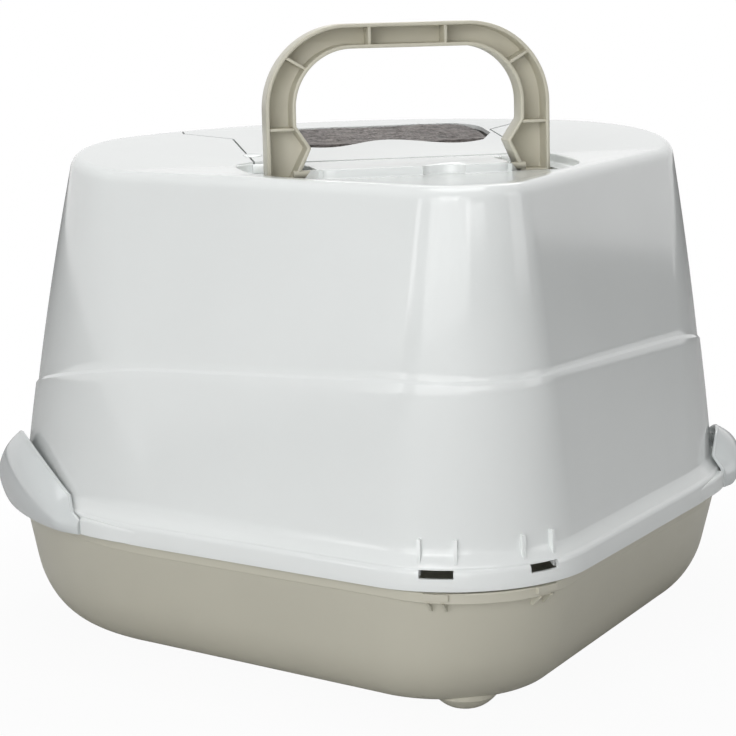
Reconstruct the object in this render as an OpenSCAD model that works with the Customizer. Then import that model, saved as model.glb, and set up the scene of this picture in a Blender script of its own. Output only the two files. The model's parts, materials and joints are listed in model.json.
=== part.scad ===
// Covered corner litter box: a rounded tray, a drafted hood over it, a lift-up front lid
// with a swing door and an air filter, a folding carrying handle and two side latches.
// X runs left to right, +Y points to the curved front with the doorway, +Z is up.
// The rounded back corner points to -Y and the object is a mirror image about X = 0.

/* [Hood] */
// Half width of the hood at the roof edge
roof_half_w = 224.6; // [215:1:235]
// Where the two back walls would meet at the roof edge, from the middle
roof_apex = 252.7; // [246:1:258]
// Angle of each back wall from the X axis at the roof edge
roof_wall_angle = 52.5; // [51:0.5:54]
// Radius of the back corner at the roof edge
roof_corner_r = 46; // [38:1:56]
// Radius that turns the back wall into the side at the roof edge
roof_side_r = 116; // [108:1:124]
// Radius of the front corners at the roof edge
roof_front_corner_r = 90; // [84:1:96]
// Radius of the bowed front at the roof edge
roof_front_r = 450; // [430:10:520]
// How far forward the roof reaches
roof_front = 196.5; // [193:0.5:202]
// Height of the flat back part of the roof
roof_z = 351.2; // [345:0.2:357]
// Rise of the roof for each millimetre forward of the lid hinge
roof_rise = 0.105; // [0.09:0.005:0.12]
// Rounding of the roof edge
roof_edge_r = 7; // [5:0.5:9]
// Half width of the hood where its wall meets the rim
base_half_w = 265.7; // [260:0.5:270]
// Where the two back walls would meet at the rim, from the middle
base_apex = 272.8; // [269:0.5:276]
// Angle of each back wall from the X axis at the rim
base_wall_angle = 48.1; // [47.5:0.1:48.6]
// Radius of the back corner at the rim
base_corner_r = 85; // [78:1:92]
// Radius that turns the back wall into the side at the rim
base_side_r = 297; // [285:1:301]
// Radius of the front corners at the rim
base_front_corner_r = 80; // [76:1:84]
// Radius of the bowed front at the rim
base_front_r = 1500; // [1400:50:2500]
// How far forward the hood reaches at the rim
base_front = 231.4; // [229:0.2:236]
// Height where the drafted wall meets the rim
base_z = 122; // [120:0.5:124]
// How far the walls belly out half way up
wall_belly = 3; // [0:0.5:5]
// Wall of the hood and the lid
hood_wall = 3; // [2.6:0.1:3.4]
// How far the wall above the styling line is set in
step_in = 1.6; // [0.8:0.1:2]
// Height of the styling line at its highest
step_top_z = 230; // [223:1:235]
// Where along Y the styling line is highest, behind the middle
step_top_y = 195; // [180:1:210]
// Drop of the styling line for each square millimetre forward
step_fall = 0.00045; // [0.0003:0.00005:0.0005]

/* [Rim] */
// How far the rim stands out from the wall at its lower edge
rim_out = 9.6; // [9:0.1:10.5]
// Height of the rim's lower edge
rim_z = 99.3; // [98.8:0.1:100.5]
// Height of the ridge along the top of the rim
rim_ridge_z = 113.5; // [112.8:0.1:114.5]
// Width of each catch slot in the rim
slot_w = 20; // [14:0.5:22]
// Height of each catch slot
slot_h = 5.5; // [4:0.5:6]
// Distance of each catch slot's middle from X = 0
slot_x = 35; // [32:0.5:38]
// Thickness of the upright fins beside each slot
fin_t = 2.2; // [1.6:0.1:3]
// Height of the upright fins
fin_h = 21; // [14:1:26]
// How far the fins stand out from the wall
fin_out = 4.5; // [3:0.5:6]

/* [Tray] */
// Wall of the tray
tray_wall = 2.8; // [2.4:0.1:3.2]
// Height of the underside of the tray's floor
floor_z = 8; // [6:0.5:11]
// Height of the outer rounding at the tray's floor
floor_round_h = 41; // [34:1:46]
// Width of the outer rounding at the tray's floor
floor_round_w = 27.6; // [22:0.2:32]
// Half width of the tray at its floor, before rounding
tray_half_w = 253.6; // [246:0.2:258]
// Where the back walls of the tray would meet at its floor
tray_apex = 240; // [234:1:246]
// Angle of each back wall of the tray at its floor
tray_wall_angle = 50; // [49:0.5:51]
// How far forward the tray reaches at its floor
tray_front = 218.6; // [214:0.2:224]
// Radius of the back corner of the tray at its floor
tray_corner_r = 78; // [70:1:86]
// Radius that turns the tray's back wall into its side at the floor
tray_side_r = 180; // [170:2:190]
// Height of the band under the hood's rim
band_h = 7; // [5:0.5:9]
// How far the band stands out from the hood's wall line
band_out = 4; // [3.8:0.1:4.6]
// Radius of the band at the back corner
band_corner_r = 72; // [68:1:80]
// Radius of each foot
foot_r = 21.5; // [16:0.5:24]
// Distance of the back foot from the middle
back_foot_y = 162; // [155:1:168]
// Distance of each front foot from X = 0
front_foot_x = 150; // [110:5:170]
// Distance of each front foot from the middle
front_foot_y = 140; // [100:5:155]

/* [Handle] */
// Outer half width of the handle
grip_half_w = 101; // [99:0.5:102]
// Height of the top of the raised handle
grip_top_z = 449; // [432:1:467]
// Width of the band of the handle in the legs
leg_w = 21; // [18:0.5:23]
// Height of the band of the handle across the top
grip_h = 17; // [14:0.5:20]
// Depth of the channel from its open side to its back
grip_depth = 19; // [16:0.5:22]
// Thickness of the channel's walls
grip_wall = 2.6; // [2.2:0.1:3.2]
// Outer radius of the handle's top corners
grip_r = 58; // [48:1:66]
// Distance from X = 0 to the inside of the widened feet
foot_inner_x = 70; // [68.5:0.5:73]
// Place of the open side of the raised handle, behind the middle
grip_y = 34; // [32:0.5:36]
// Radius of the handle's pivot pins
grip_pin_r = 2.8; // [2.4:0.1:3.2]

/* [Roof recess] */
// Depth of the recess that takes the folded handle
recess_depth = 6.5; // [5.5:0.1:7.5]
// Half width of the recess
recess_half_w = 104.5; // [104:0.5:107]
// Half width of the recess where it runs out over the back edge
recess_mouth_half_w = 75; // [60:1:88]
// Half width of the raised middle of the roof
island_half_w = 63; // [61:0.5:64]
// Distance from the middle to the back of the raised middle of the roof
island_back = 53; // [50:1:64]
// Distance of the thumb notch from X = 0
notch_x = 19; // [-30:1:40]
// Radius of the thumb notch
notch_r = 17; // [12:1:20]

/* [Lid] */
// Distance of the hinge line in front of the middle
hinge_y = 22; // [20:0.5:26]
// Radius of the rolled hinge edge
hinge_r = 3.8; // [3.4:0.1:4.2]
// Radius of the hinge pins
hinge_pin_r = 2.4; // [2:0.1:2.6]
// Half width of the lid between the hinge bosses
tongue_root_half_w = 92; // [86:1:93]
// Half width of the lid's tongue in the roof
tongue_half_w = 100; // [98:0.5:102]
// Distance from the middle to where the lid's sides flare
flare_start_y = 127; // [120:1:134]
// Distance from the middle to where the flare ends
flare_end_y = 158; // [150:1:166]
// Half width of the lid across its front
front_half_w = 133; // [124:1:140]
// Height of the lid's lower edge in front
sill_z = 128; // [126.5:0.5:135]
// Gap round the lid
lid_gap = 0.8; // [0.5:0.1:1.2]

/* [Filter] */
// Half width of the wavy air opening
vent_half_w = 80; // [70:1:84]
// Distance of the air opening's middle from X = 0
vent_x = 10; // [0:1:12]
// Middle of the back edge of the air opening
vent_back_y = 86; // [82:1:92]
// Depth of the waves in the back edge
vent_wave = 12; // [6:1:14]
// Length of one wave
vent_wave_l = 100; // [90:1:120]
// Distance of the wave's crest from X = 0
vent_crest_x = 12; // [0:1:20]
// Front edge of the air opening
vent_front_y = 162; // [150:1:168]
// Thickness of the filter pad
pad_t = 8; // [5:0.5:10]
// Half width of the filter pad
pad_half_w = 78; // [70:1:84]
// Back edge of the filter pad, measured along the roof from the hinge line
pad_back = 94; // [88:1:100]
// Front edge of the filter pad, measured along the roof from the hinge line
pad_front = 152; // [146:1:153]
// Thickness of the grille under the pad
grille_t = 2.4; // [1.8:0.1:3]
// Space between two grille bars
grille_pitch = 14; // [10:1:22]

/* [Doorway] */
// Half width of the doorway
door_half_w = 84; // [76:1:90]
// Height of the doorway's lower edge
door_sill_z = 145; // [143:1:151]
// Height of the doorway's upper edge
door_top_z = 309; // [303:1:315]
// Radius of the doorway's upper corners
door_r = 45; // [38:1:50]
// Place of the swing door's plane in front of the middle
door_y = 199; // [197:0.5:201]
// Thickness of the swing door
door_t = 2.4; // [2:0.1:3]
// Gap round the swing door
door_gap = 2; // [1.6:0.1:3]
// Radius of the swing door's pins
door_pin_r = 2; // [1.6:0.1:2.4]

/* [Latches] */
// Angle that each latch covers behind the middle of the side
latch_back_turn = 30; // [28:0.5:31]
// Angle from the middle of the side to the right latch's front end, behind it
right_front_turn = 5; // [3:0.5:8]
// Height of the right latch
right_latch_h = 36; // [34:0.5:38]
// Angle that the left latch covers round the front corner
left_front_turn = 24; // [20:1:27]
// Height of the left latch
left_latch_h = 51; // [46:0.5:52]
// How far the latch's lower edge stands out
latch_low_out = 18; // [17:0.5:19]
// How far the latch bows out above its lower edge
latch_bow = 4; // [3:0.5:5]
// Thickness of the latch
latch_t = 2.6; // [2.2:0.1:3]
// Angle round the side arc to the middle of the latch's axis
latch_turn = 16.5; // [16:0.1:17]
// Radius of the latch pins
latch_pin_r = 2.2; // [1.8:0.1:2.4]

/* [Hidden] */

run_fit = 0.06;      // radial clearance of a pin in its bore
rest_gap = 0.3;      // gap between pieces that rest on each other
past = 20;           // how far a cutter reaches past what it cuts
arc_steps = [7, 6, 6, 4];   // steps of the back, side, front corner and front arcs
white = [0.93, 0.94, 0.94];
taupe = [0.66, 0.64, 0.57];

// A plan outline: apex, wall angle, corner r, half width, side r, front corner r, front, front r
roof_plan = [-roof_apex, roof_wall_angle, roof_corner_r, roof_half_w, roof_side_r,
             roof_front_corner_r, roof_front, roof_front_r];
base_plan = [-base_apex, base_wall_angle, base_corner_r, base_half_w, base_side_r,
             base_front_corner_r, base_front, base_front_r];
tray_plan = [-tray_apex, tray_wall_angle, tray_corner_r, tray_half_w, tray_side_r,
             base_front_corner_r - 20, tray_front, base_front_r];
band_plan = [-base_apex, base_wall_angle, band_corner_r, base_half_w, base_side_r,
             base_front_corner_r, base_front, base_front_r];

function arc(cx, cy, r, from, to, n, first = 0, last = 0) =
    [for (i = [first:n - last]) let (a = from + (to - from) * i / n) [cx + r * cos(a), cy + r * sin(a)]];

// Right half of a plan outline grown by k, from the back corner round to the front
function half_plan(p, k) =
    let (apex = p[0] - k / cos(p[1]), turn = p[1], rc = p[2] + k, w = p[3] + k, rs = p[4] + k,
         rf = p[5] + k, front = p[6] + k, rr = p[7] + k,
         side_x = w - rs,
         side_y = apex + tan(turn) * side_x + rs / cos(turn),
         corner_x = w - rf,
         corner_y = front - rr + sqrt(pow(rr - rf, 2) - pow(corner_x, 2)),
         meet = atan2(corner_y - front + rr, corner_x))
    concat(arc(0, apex + rc / cos(turn), rc, -90, turn - 90, arc_steps[0]),
           arc(side_x, side_y, rs, turn - 90, 0, arc_steps[1], 0, 1),
           arc(corner_x, corner_y, rf, 0, meet, arc_steps[2]),
           arc(0, front - rr, rr, meet, 90, arc_steps[3], 1, 0));

function whole(half) = concat(half, [for (i = [len(half) - 2:-1:1]) [-half[i].x, half[i].y]]);
function plan(p, k) = whole(half_plan(p, k));
function at_z(outline, z) = [for (q = outline) [q.x, q.y, z]];
function roof_height(y) = roof_z + roof_rise * max(0, y - hinge_y + 6);
function mix(a, b, t) = a * (1 - t) + b * t;

// One ring of the hood's wall: t is 0 at the roof edge and 1 at the rim, k grows the outline
function wall_ring(ts, k, drop = 0) =
    let (a = plan(roof_plan, k), b = plan(base_plan, k))
    [for (i = [0:len(a) - 1])
        let (t = is_list(ts) ? ts[i] : ts,
             belly = 1 + wall_belly * 4 * t * (1 - t) / base_half_w,
             q = mix(a[i], b[i], t))
        [q.x * belly, q.y * belly, mix(roof_height(a[i].y) - drop, base_z, t)]];

// Height of the styling line, and how far down the wall it lies at each point of a ring
function step_z(y) = step_top_z - step_fall * pow(y + step_top_y, 2);
step_ts =
    let (a = plan(roof_plan, 0), b = plan(base_plan, 0))
    [for (i = [0:len(a) - 1])
        let (top = roof_height(a[i].y))
        (top - step_z(mix(a[i].y, b[i].y, 0.55))) / (top - base_z)];
step_half = 0.006;
function shifted(ts, d) = [for (t = ts) t + d];
function scaled(ts, f) = [for (t = ts) t * f];

// The rings of the skin from the rim's wall foot to the roof, grown by k (0 outside, -wall inside)
function skin_rings(k) = concat(
    [wall_ring(1, k),
     wall_ring(shifted(step_ts, step_half), k),
     wall_ring(shifted(step_ts, -step_half), k - step_in),
     wall_ring(scaled(step_ts, 0.5), k - step_in / 2),
     wall_ring(0.035, k)],
    [for (u = [30, 60, 90]) wall_ring(0.02 * (1 - sin(u)), k - roof_edge_r * (1 - cos(u)),
        roof_edge_r * (1 - sin(u)) - k)]);

function cap_faces(first, m, up) =
    [for (j = [0:m / 2 - 1])
        let (a = first + j, b = first + j + 1, c = first + m - j - 1, d = first + (m - j) % m)
        each (j == 0 ? [[a, b, c]] : j == m / 2 - 1 ? [[a, b, d]] : [[a, b, c], [a, c, d]])];
function flipped(faces) = [for (f = faces) [f[2], f[1], f[0]]];

// A closed solid through rings of equal count, each a mirror image about X = 0, lowest first
module loft(rings) {
    m = len(rings[0]);
    n = len(rings);
    polyhedron(
        points = [for (r = rings) each r],
        faces = concat(
            [for (i = [0:n - 2], j = [0:m - 1])
                let (a = i * m + j, b = i * m + (j + 1) % m)
                each [[a, a + m, b + m], [a, b + m, b]]],
            cap_faces(0, m, false),
            flipped(cap_faces((n - 1) * m, m, true))));
}

module mirrored() {
    children();
    mirror([1, 0, 0]) children();
}

// Carries its children to a place on an upright round corner, turned to face outwards
module on_corner(centre_y, x, r) {
    translate([0, centre_y, 0]) rotate([0, 0, asin(x / r)]) translate([0, -r, 0]) children();
}

module bar_x(y, z, r, from, to) {
    translate([from, y, z]) rotate([0, 90, 0]) cylinder(r = r, h = to - from, $fn = 48);
}

function corner_centre(p, k) = p[0] - k / cos(p[1]) + (p[2] + k) / cos(p[1]);
rim_centre_y = corner_centre(base_plan, rim_out);
rim_corner_r = base_corner_r + rim_out;
band_centre_y = corner_centre(band_plan, band_out);

// ---- tray ----
lip_out = 3.5;
shelf_inner_z = rim_ridge_z - 3.3;
shelf_slope = 0.72;
lip_top_z = shelf_inner_z + (rim_out - hood_wall - lip_out) * shelf_slope - rest_gap;
band_top_z = rim_z - 0.8;
band_bottom_z = band_top_z - band_h;
tray_centre_y = 22;

function drawn_in(outline, by) =
    [for (q = outline) let (d = q - [0, tray_centre_y]) [0, tray_centre_y] + d * (1 - by / norm(d))];

// A ring of the tray's wall at height z, grown by k and drawn in by the floor rounding
function tray_ring(z, k, by) =
    let (a = plan(base_plan, lip_out - 0.5 + k), b = plan(tray_plan, k),
         t = (band_bottom_z - z) / (band_bottom_z - floor_z))
    at_z(drawn_in([for (i = [0:len(a) - 1]) mix(a[i], b[i], t)], by), z);

function tray_skin(k, lift) = concat(
    [for (u = [90, 72, 54, 36, 18, 0])
        tray_ring(floor_z + lift + (floor_round_h - lift) * (1 - sin(u)), k,
                  floor_round_w * (1 - cos(u)))],
    [tray_ring(band_bottom_z, k, 0)]);

module foot(x, y) {
    sole_r = 6;
    dome_h = floor_z + 1;
    translate([x, y, 0]) rotate_extrude($fn = 48)
        polygon(concat([for (i = [0:6]) [mix(sole_r, foot_r, i / 6), dome_h * pow(i / 6, 2)]],
                       [[foot_r, floor_z + 14], [0, floor_z + 14], [0, 0]]));
}

module tray() color(taupe) {
    difference() {
        union() {
            loft(concat(tray_skin(0, 0), [at_z(plan(base_plan, lip_out), band_top_z - 1),
                                          at_z(plan(base_plan, lip_out), lip_top_z)]));
            loft([at_z(plan(band_plan, band_out), band_bottom_z), at_z(plan(band_plan, band_out), band_top_z)]);
            foot(0, -back_foot_y);
            foot(front_foot_x, front_foot_y);
            foot(-front_foot_x, front_foot_y);
            mirrored() tray_catch();
        }
        loft(concat(tray_skin(-tray_wall, tray_wall),
                    [at_z(plan(base_plan, lip_out - tray_wall), band_top_z),
                     at_z(plan(base_plan, lip_out - tray_wall), lip_top_z + past)]));
    }
}

// The catch block on the band under each slot, with its two small gussets
module tray_catch() {
    block_out = 2.2;
    gusset_w = 2;
    gusset_h = 9;
    on_corner(band_centre_y, slot_x, band_corner_r + band_out) {
        translate([-slot_w / 2, -block_out, band_bottom_z]) cube([slot_w, 8, band_h - 0.2]);
        for (side = [-1, 1])
            translate([side * slot_w / 4 - gusset_w / 2, 0, band_bottom_z])
                rotate([90, 0, 90]) linear_extrude(gusset_w)
                    polygon([[-block_out, 0.5], [9, 0.5], [9, -gusset_h], [6, -gusset_h]]);
    }
}

// ---- hood ----
shelf_z = base_z - 2.5;

module hood_outside() {
    loft(concat([at_z(plan(base_plan, rim_out), rim_z),
                 at_z(plan(base_plan, rim_out - 0.8), rim_ridge_z - 2.5),
                 at_z(plan(base_plan, rim_out - 3), rim_ridge_z),
                 at_z(plan(base_plan, 1.2), shelf_z)],
                skin_rings(0)));
}

module hood_inside() {
    loft(concat([at_z(plan(base_plan, rim_out - hood_wall), rim_z - past),
                 at_z(plan(base_plan, rim_out - hood_wall), shelf_inner_z),
                 at_z(plan(base_plan, -hood_wall), shelf_inner_z + rim_out * shelf_slope)],
                skin_rings(-hood_wall)));
}

recess_floor = roof_z - recess_depth;
recess_turn_r = 50;
recess_front_y = -2;
recess_turn_y = -86;

// The recess round the raised middle of the roof, grown by k
module recess_outline(k) {
    turn = acos((recess_mouth_half_w - recess_half_w + recess_turn_r) / (recess_turn_r + k));
    side = concat([[recess_half_w + k, recess_front_y + k]],
                  arc(recess_half_w - recess_turn_r, recess_turn_y, recess_turn_r + k, 0, -turn, 6),
                  [[recess_mouth_half_w + k, -roof_apex - past]]);
    island = concat([[island_half_w - k, recess_front_y + k + 1]],
                    arc(island_half_w - k - 12, -island_back + k + 12, 12, 0, -90, 4));
    difference() {
        polygon(concat(side, [for (i = [len(side) - 1:-1:0]) [-side[i].x, side[i].y]]));
        polygon(concat(island, [for (i = [len(island) - 1:-1:0]) [-island[i].x, island[i].y]]));
    }
}

module recess(k) {
    translate([0, 0, recess_floor - k]) linear_extrude(recess_depth + past) recess_outline(k);
}

// Handle wells: through slots in the recess for the feet, with the pivot plates beside them
grip_pin_y = -grip_y + 2;
grip_pin_z = recess_floor + rest_gap + 2;
well_back_y = -grip_y - 12;
well_front_y = -grip_y + grip_depth + 4;
pivot_plate_t = 4;
pivot_plate_drop = 12;
well_side_x = island_half_w + 0.3;

module well() {
    translate([well_side_x, well_back_y, recess_floor - past])
        cube([recess_half_w - 1 - well_side_x, well_front_y - well_back_y, past * 2]);
}

module pivot_plate() {
    translate([well_side_x - pivot_plate_t, well_back_y + 2, grip_pin_z - pivot_plate_drop])
        cube([pivot_plate_t, well_front_y - well_back_y - 4, pivot_plate_drop + roof_z - grip_pin_z - 0.1]);
}

hinge_z = roof_z - hinge_r - 0.2;
hinge_boss_r = 4;
hinge_pin_l = 6;

// The lid's place in plan: root is how far back its shoulders start, grow widens it by the gap
function lid_outline(back, shoulder, grow) =
    let (r = tongue_root_half_w + grow, t = tongue_half_w + grow, f = front_half_w + grow)
    [[r, back], [r, shoulder], [t, shoulder], [t, flare_start_y - grow / 2], [f, flare_end_y - grow / 2],
     [f, base_front + past], [-f, base_front + past], [-f, flare_end_y - grow / 2],
     [-t, flare_start_y - grow / 2], [-t, shoulder], [-r, shoulder], [-r, back]];

module lid_space(back, shoulder, grow, low) {
    translate([0, 0, low]) linear_extrude(roof_z + 60 - low) polygon(lid_outline(back, shoulder, grow));
}

module hood_slot() {
    on_corner(rim_centre_y, slot_x, rim_corner_r)
        translate([-slot_w / 2, -3, rim_ridge_z - 1.2 - slot_h]) cube([slot_w, 9.5, slot_h]);
}

module fin(x) {
    foot_z = shelf_inner_z + 2.5;
    r = base_corner_r + fin_out;
    on_corner(corner_centre(base_plan, fin_out), x, r)
        translate([-fin_t / 2, 0, foot_z]) rotate([90, 0, 90]) linear_extrude(fin_t)
            polygon([[0, 0], [fin_out + 1, (fin_out + 1) * shelf_slope], [fin_out + 3, fin_h], [1.5, fin_h],
                     [0.6, fin_h - 2]]);
}

// The round thumb notch in the back edge of the raised middle, grown by k
module thumb_notch(k) {
    translate([notch_x, -island_back - notch_r * 0.45, recess_floor - k])
        cylinder(r = notch_r + k, h = past, $fn = 48);
}

module hood() color(white) {
    difference() {
        union() {
            difference() {
                hood_outside();
                difference() {
                    hood_inside();
                    recess(hood_wall);
                    thumb_notch(hood_wall);
                }
                recess(0);
                lid_space(hinge_y - hinge_r - 1.4, hinge_y + hinge_boss_r, lid_gap, sill_z - lid_gap);
                mirrored() well();
                thumb_notch(0);
            }
            mirrored() pivot_plate();
            mirrored() bar_x(hinge_y, hinge_z, hinge_boss_r, tongue_root_half_w + lid_gap,
                             tongue_half_w + lid_gap + 2);
            mirrored() { fin(slot_x - slot_w / 2 - fin_t); fin(slot_x + slot_w / 2 - fin_t); }
            mirrored() latch_lugs();
        }
        mirrored() hood_slot();
        mirrored() bar_x(grip_pin_y, grip_pin_z, grip_pin_r + run_fit, well_side_x - pivot_plate_t - 1,
                         well_side_x + 1);
        mirrored() bar_x(hinge_y, hinge_z, hinge_pin_r + run_fit, tongue_root_half_w,
                         tongue_root_half_w + hinge_pin_l + 0.5);
        mirrored() latch_bores();
    }
}

// ---- front lid ----
function door_outline(k) =
    let (w = door_half_w + k, top = door_top_z + k, r = door_r + k, low = door_sill_z - k, rb = 12 + k)
    concat(arc(w - rb, low + rb, rb, 0, -90, 4), arc(-w + rb, low + rb, rb, -90, -180, 4),
           arc(-w + r, top - r, r, 180, 90, 6), arc(w - r, top - r, r, 90, 0, 6));

// An outline drawn in X and Z, extruded along Y between two places
module along_y(points, from, to) {
    translate([0, to, 0]) rotate([90, 0, 0]) linear_extrude(to - from) polygon(points);
}

collar_y = door_y - 6;
door_pin_z = door_top_z - 8;
lug_x = 56;
lug_t = 4;

module front_lid() color(white) {
    difference() {
        union() {
            difference() {
                intersection() {
                    hood_outside();
                    lid_space(hinge_y, hinge_y + hinge_boss_r + 2, 0, sill_z);
                }
                difference() {
                    hood_inside();
                    along_y(door_outline(hood_wall), collar_y, base_front + past);
                }
                along_y(door_outline(0), collar_y - past, base_front + past);
                vent_cut();
            }
            bar_x(hinge_y, hinge_z, hinge_r, -tongue_root_half_w + 0.2, tongue_root_half_w - 0.2);
            bar_x(hinge_y, hinge_z, hinge_pin_r, -tongue_root_half_w - hinge_pin_l,
                  tongue_root_half_w + hinge_pin_l);
            mirrored() door_lug();
        }
        bar_x(door_y, door_pin_z, door_pin_r + run_fit, -lug_x - lug_t - 1, -lug_x + 1);
        bar_x(door_y, door_pin_z, door_pin_r + run_fit, lug_x - 1, lug_x + lug_t + 1);
    }
}

module door_lug() {
    lug_half = 5;
    translate([lug_x, door_y - lug_half, door_pin_z - lug_half])
        cube([lug_t, lug_half * 2, door_top_z + 1 - door_pin_z + lug_half]);
}

// The air opening: straight in front, waved behind, with round ends
module vent_cut() {
    end_r = 26;
    steps = 20;
    reach = vent_half_w - end_r * 0.5;
    wave = [for (i = [0:steps])
        let (x = -reach + 2 * reach * i / steps)
        [x, vent_back_y + vent_wave * cos((x + vent_x - vent_crest_x) * 360 / vent_wave_l)]];
    translate([vent_x, 0, roof_z - 10]) linear_extrude(60)
        polygon(concat(wave, [[vent_half_w, vent_back_y + end_r]],
                       arc(vent_half_w - end_r, vent_front_y - end_r, end_r, 0, 90, 5),
                       arc(-vent_half_w + end_r, vent_front_y - end_r, end_r, 90, 180, 5),
                       [[-vent_half_w, vent_back_y + end_r]]));
}

// ---- swing door ----
module swing_door() color([0.8, 0.82, 0.82], 0.6) {
    rail_r = 3.2;
    neck_half_w = 52;
    shoulder = door_top_z - 18;
    w = door_half_w - door_gap;
    low = door_sill_z + door_gap;
    r = door_r - door_gap;
    panel = concat(arc(w - 10, low + 10, 10, 0, -90, 4), arc(-w + 10, low + 10, 10, -90, -180, 4),
                   arc(-w + r, shoulder - r, r, 180, 96, 6), [[-neck_half_w + 8, door_pin_z]],
                   [[neck_half_w - 8, door_pin_z]], arc(w - r, shoulder - r, r, 84, 0, 6));
    along_y(panel, door_y - door_t / 2, door_y + door_t / 2);
    bar_x(door_y, door_pin_z, rail_r, -lug_x + 0.4, lug_x - 0.4);
    bar_x(door_y, door_pin_z, door_pin_r, -lug_x - lug_t + 0.4, lug_x + lug_t - 0.4);
    // stiffening rib across the foot of the door, where a paw or nose pushes
    translate([-w + 14, door_y - 2.6, low + 6]) cube([2 * w - 28, 5.2, 4]);
}

// ---- handle ----
grip_foot_z = grip_pin_z - 5;
grip_boss_r = 5.5;
foot_kink_z = grip_top_z - 78;
foot_top_z = grip_top_z - 60;

function grip_outer() = concat([[grip_half_w, grip_foot_z]],
    arc(grip_half_w - grip_r, grip_top_z - grip_r, grip_r, 0, 90, 12));
function grip_inner(k) =
    let (x = grip_half_w - leg_w - k, r = grip_r - leg_w + 3 - k, top = grip_top_z - grip_h - k)
    concat([[foot_inner_x + 6 - k, grip_foot_z], [foot_inner_x - k, foot_kink_z - 12],
            [foot_inner_x - k, foot_kink_z], [x, foot_top_z]],
           arc(x - r, top - r, r, 0, 90, 10));

function mirror_path(p) = concat(p, [for (i = [len(p) - 1:-1:0]) [-p[i].x, p[i].y]]);

module grip_profile() {
    difference() {
        polygon(mirror_path(grip_outer()));
        polygon(mirror_path(concat([[foot_inner_x + 6, grip_foot_z - 5]], grip_inner(0))));
    }
}

module grip_pocket() {
    w = grip_wall;
    outer = concat([[grip_half_w - w, grip_foot_z + w]],
        arc(grip_half_w - grip_r, grip_top_z - grip_r, grip_r - w, 0, 90, 12));
    difference() {
        polygon(mirror_path(outer));
        polygon(mirror_path(concat([[foot_inner_x + 6 - w, grip_foot_z - 5]], grip_inner(w))));
    }
}

// A cross rib of the channel between two points of the X and Z plane
module grip_rib(p, q) {
    d = q - p;
    rib_t = 2;
    translate([p.x, -grip_y + 1.2, p.y]) rotate([0, -atan2(d.y, d.x), 0]) translate([0, 0, -rib_t / 2])
        cube([norm(d), grip_depth - grip_wall, rib_t]);
}

module handle() color(taupe) {
    w = grip_wall / 2;
    mid = grip_r - w;
    elbow = 40;
    c = [grip_half_w - grip_r, grip_top_z - grip_r];
    inner_r = grip_r - leg_w + 3;
    difference() {
        translate([0, -grip_y + grip_depth, 0]) rotate([90, 0, 0]) linear_extrude(grip_depth) grip_profile();
        translate([0, -grip_y + grip_depth - grip_wall, 0]) rotate([90, 0, 0])
            linear_extrude(grip_depth) grip_pocket();
    }
    mirrored() {
        grip_rib([grip_half_w - leg_w + w, foot_top_z - 2], [grip_half_w - w, foot_top_z - 2]);
        grip_rib([grip_half_w - leg_w - inner_r, grip_top_z - grip_h - inner_r] + (inner_r + w) * [cos(elbow), sin(elbow)],
                 c + mid * [cos(elbow), sin(elbow)]);
        grip_rib([27, grip_top_z - grip_h + w], [27, grip_top_z - w]);
        bar_x(grip_pin_y, grip_pin_z, grip_boss_r, well_side_x + 0.7, foot_inner_x + 12);
        bar_x(grip_pin_y, grip_pin_z, grip_pin_r, well_side_x - pivot_plate_t, well_side_x + 1);
    }
}

// ---- side latches ----
latch_pin_u = 6;
latch_pin_z = base_z - 4;
latch_lug_v = 26;
front_corner_centre = let (x = base_half_w - base_front_corner_r)
    [x, base_front - base_front_r + sqrt(pow(base_front_r - base_front_corner_r, 2) - x * x)];
side_centre = let (x = base_half_w - base_side_r)
    [x, tan(base_wall_angle) * x + base_side_r / cos(base_wall_angle) - base_apex];

// Carries its children to the middle of the latch's axis: X outwards, Y along the side
module latch_place() {
    translate([side_centre.x, side_centre.y, 0]) rotate([0, 0, -latch_turn])
        translate([base_side_r, 0, 0]) children();
}

// A latch's shape: length of its front part, height, and where along it the height peaks
right_shape = [-base_side_r * right_front_turn * PI / 180, right_latch_h, 0.33];
left_shape = [base_front_corner_r * left_front_turn * PI / 180, left_latch_h, 0.7];
latch_end_h = 6;

function latch_rise(s, p) =
    let (q = p < s[2] ? 0.5 * p / s[2] : 0.5 + 0.5 * (p - s[2]) / (1 - s[2]))
    latch_end_h + (s[1] - latch_end_h) * pow(sin(180 * q), 0.7);
function ease(t) = let (u = min(1, max(0, t))) u * u * (3 - 2 * u);

// A point of a latch: p runs along it from 0 to 1, h up it from 0 to 1
function latch_point(s, p, h, inset) =
    let (back_l = base_side_r * latch_back_turn * PI / 180,
         past_side = p * (back_l + s[0]) - back_l,
         r = past_side < 0 ? base_side_r : base_front_corner_r,
         centre = past_side < 0 ? side_centre : front_corner_centre,
         rise = latch_rise(s, p),
         near_out = rim_out + latch_t + 0.8,
         flare = ease(p / 0.14),
         low_out = mix(near_out, latch_low_out, flare),
         high_out = mix(near_out, 4 + rise / 25, min(1, max(0, (rise - 14) / 8))),
         out = mix(low_out, high_out, pow(h, 5)) + latch_bow * flare * sin(180 * pow(h, 0.8)) - inset,
         a = past_side / r * 180 / PI)
    [centre.x + (r + out) * cos(a), centre.y + (r + out) * sin(a), rim_z + rise * h];

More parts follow.
